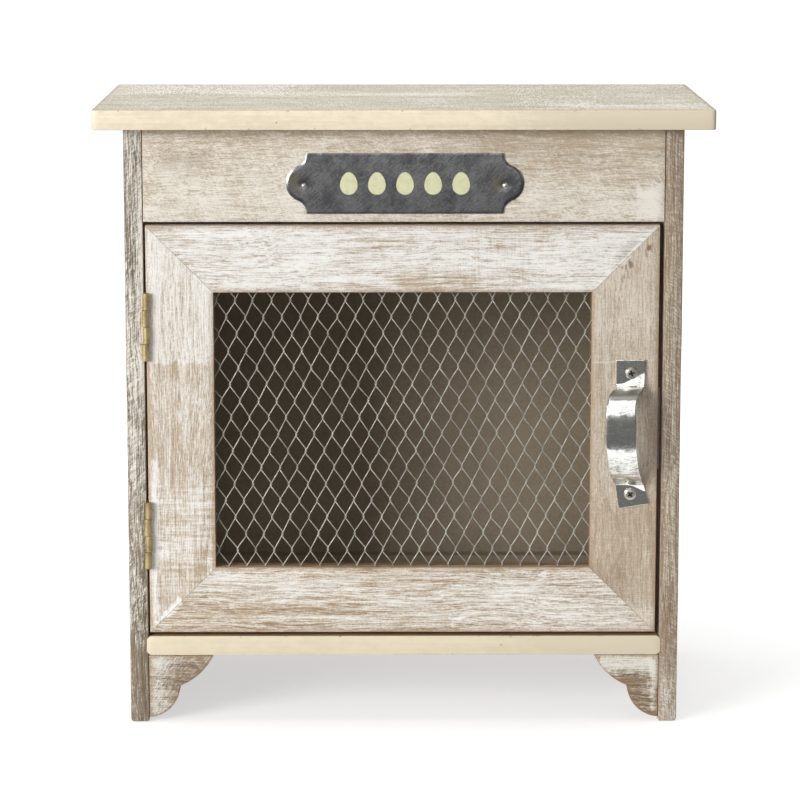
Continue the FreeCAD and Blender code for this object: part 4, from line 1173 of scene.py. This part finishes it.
def keep_solids():
    """Solids that keep their own shape get a finish: brass on the hinges, steel where none is named."""
    finishes = {
        "back_panel": hardboard,
        "rear_cleat": hardboard,
        "top_dowels": bare_upright,
        "netting_batten_top": bare_level,
        "netting_batten_bottom": bare_level,
        "netting_batten_left": bare_upright,
        "netting_batten_right": bare_upright,
        "catch_housing": catch_plastic,
        "catch_magnet": magnet_ferrite,
    }
    for name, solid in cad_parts.items():
        solid.data.materials.clear()
        solid.data.materials.append(brass if "hinge" in name else finishes.get(name, plain_steel))


# Studio: a wide pale floor, white air, soft lamps, and the camera at the photograph's angle
def seen_by(shader, *rays):
    """1 for rays of these kinds, else 0."""
    path = shader.id_data.nodes.new("ShaderNodeLightPath").outputs
    seen = path[rays[0]]
    for ray in rays[1:]:
        seen = reckon("MAXIMUM", seen, path[ray])
    return seen


def pale_floor():
    """A floor that reaches far back and drops away a little in front of the cupboard."""
    centre = (0, 9.73, 0)
    nothing_selected()
    bpy.ops.mesh.primitive_plane_add(size=1, location=centre)
    floor = settle(called("floor"))
    shape_it()
    pick_all()
    bpy.ops.transform.resize(value=(30, 20, 1), center_override=centre)
    pick("EDGE", lambda edge: middle(edge).y < -0.25)
    pull(0, -0.02, -0.02)
    pull(0, 0, -0.2)
    done_shaping()
    paper, shader, place = new_finish(
        "studio_paper", Base_Color=(0.65, 0.65, 0.65, 1), Roughness=0.9, Specular_IOR_Level=0.1,
        Emission_Color=(1, 1, 1, 1))
    away = step("VectorMath", {0: place}, operation="LENGTH")["Value"]
    white = fade(away, 0.15, 0.8, 0.58, 1.0)
    bright = seen_by(shader, "Is Camera Ray", "Is Transmission Ray", "Is Glossy Ray")
    feed(shader.inputs["Emission Strength"], times(bright, white))
    floor.data.materials.append(paper)


def softbox(name, place, aim, power, width, height):
    nothing_selected()
    bpy.ops.object.light_add(type="AREA", location=place)
    lamp = called(name)
    lamp.data.shape = "RECTANGLE"
    lamp.data.size, lamp.data.size_y = width, height
    lamp.data.energy = power
    lamp.rotation_euler = (Vector(aim) - Vector(place)).to_track_quat("-Z", "Y").to_euler()


def studio():
    pale_floor()
    world = bpy.data.worlds.new("studio_air")
    bpy.context.scene.world = world
    world.use_nodes = True
    air = world.node_tree.nodes["Background"]
    bright = seen_by(air, "Is Camera Ray", "Is Transmission Ray")
    feed(air.inputs["Strength"], fade(bright, 0, 1, 0.16, 1.0))
    air.inputs["Color"].default_value = (1, 1, 1, 1)

    softbox("key_softbox", (-1.75, -1.95, 0.75), (0, 0, 0.17), 64, 1.35, 1.1)
    softbox("front_softbox", (0.04, -2.0, 0.95), (0.04, 0, 0.95), 4.3, 0.84, 1.56)
    softbox("high_softbox", (0.15, -1.2, 1.85), (0.12, -0.08, 0.18), 2.8, 0.6, 1.35)
    softbox("fill_softbox", (1.8, -1.7, 0.8), (0, 0, 0.17), 2, 1.2, 1.2)
    softbox("overhead_softbox", (0, 0.15, 1.6), (0, 0, 0.3), 13, 1.2, 1.0)

    nothing_selected()
    bpy.ops.object.camera_add(location=(-0.01087, -1.7425, 0.46396),
                              rotation=(math.radians(90 - 9.865), 0, math.radians(-0.305)))
    camera = bpy.context.object
    camera.data.sensor_width = 36
    camera.data.lens = 146.03
    bpy.context.scene.camera = camera


keep_solids()
worn_case()
foot_brackets()
door_frame()
wire_netting()
zinc_plate()
painted_eggs()
strip_handle()
handle_screw_heads()
butt_hinges()
back_nail_heads()
case_nail_heads()
studio()
bpy.context.scene.view_settings.view_transform = "Standard"
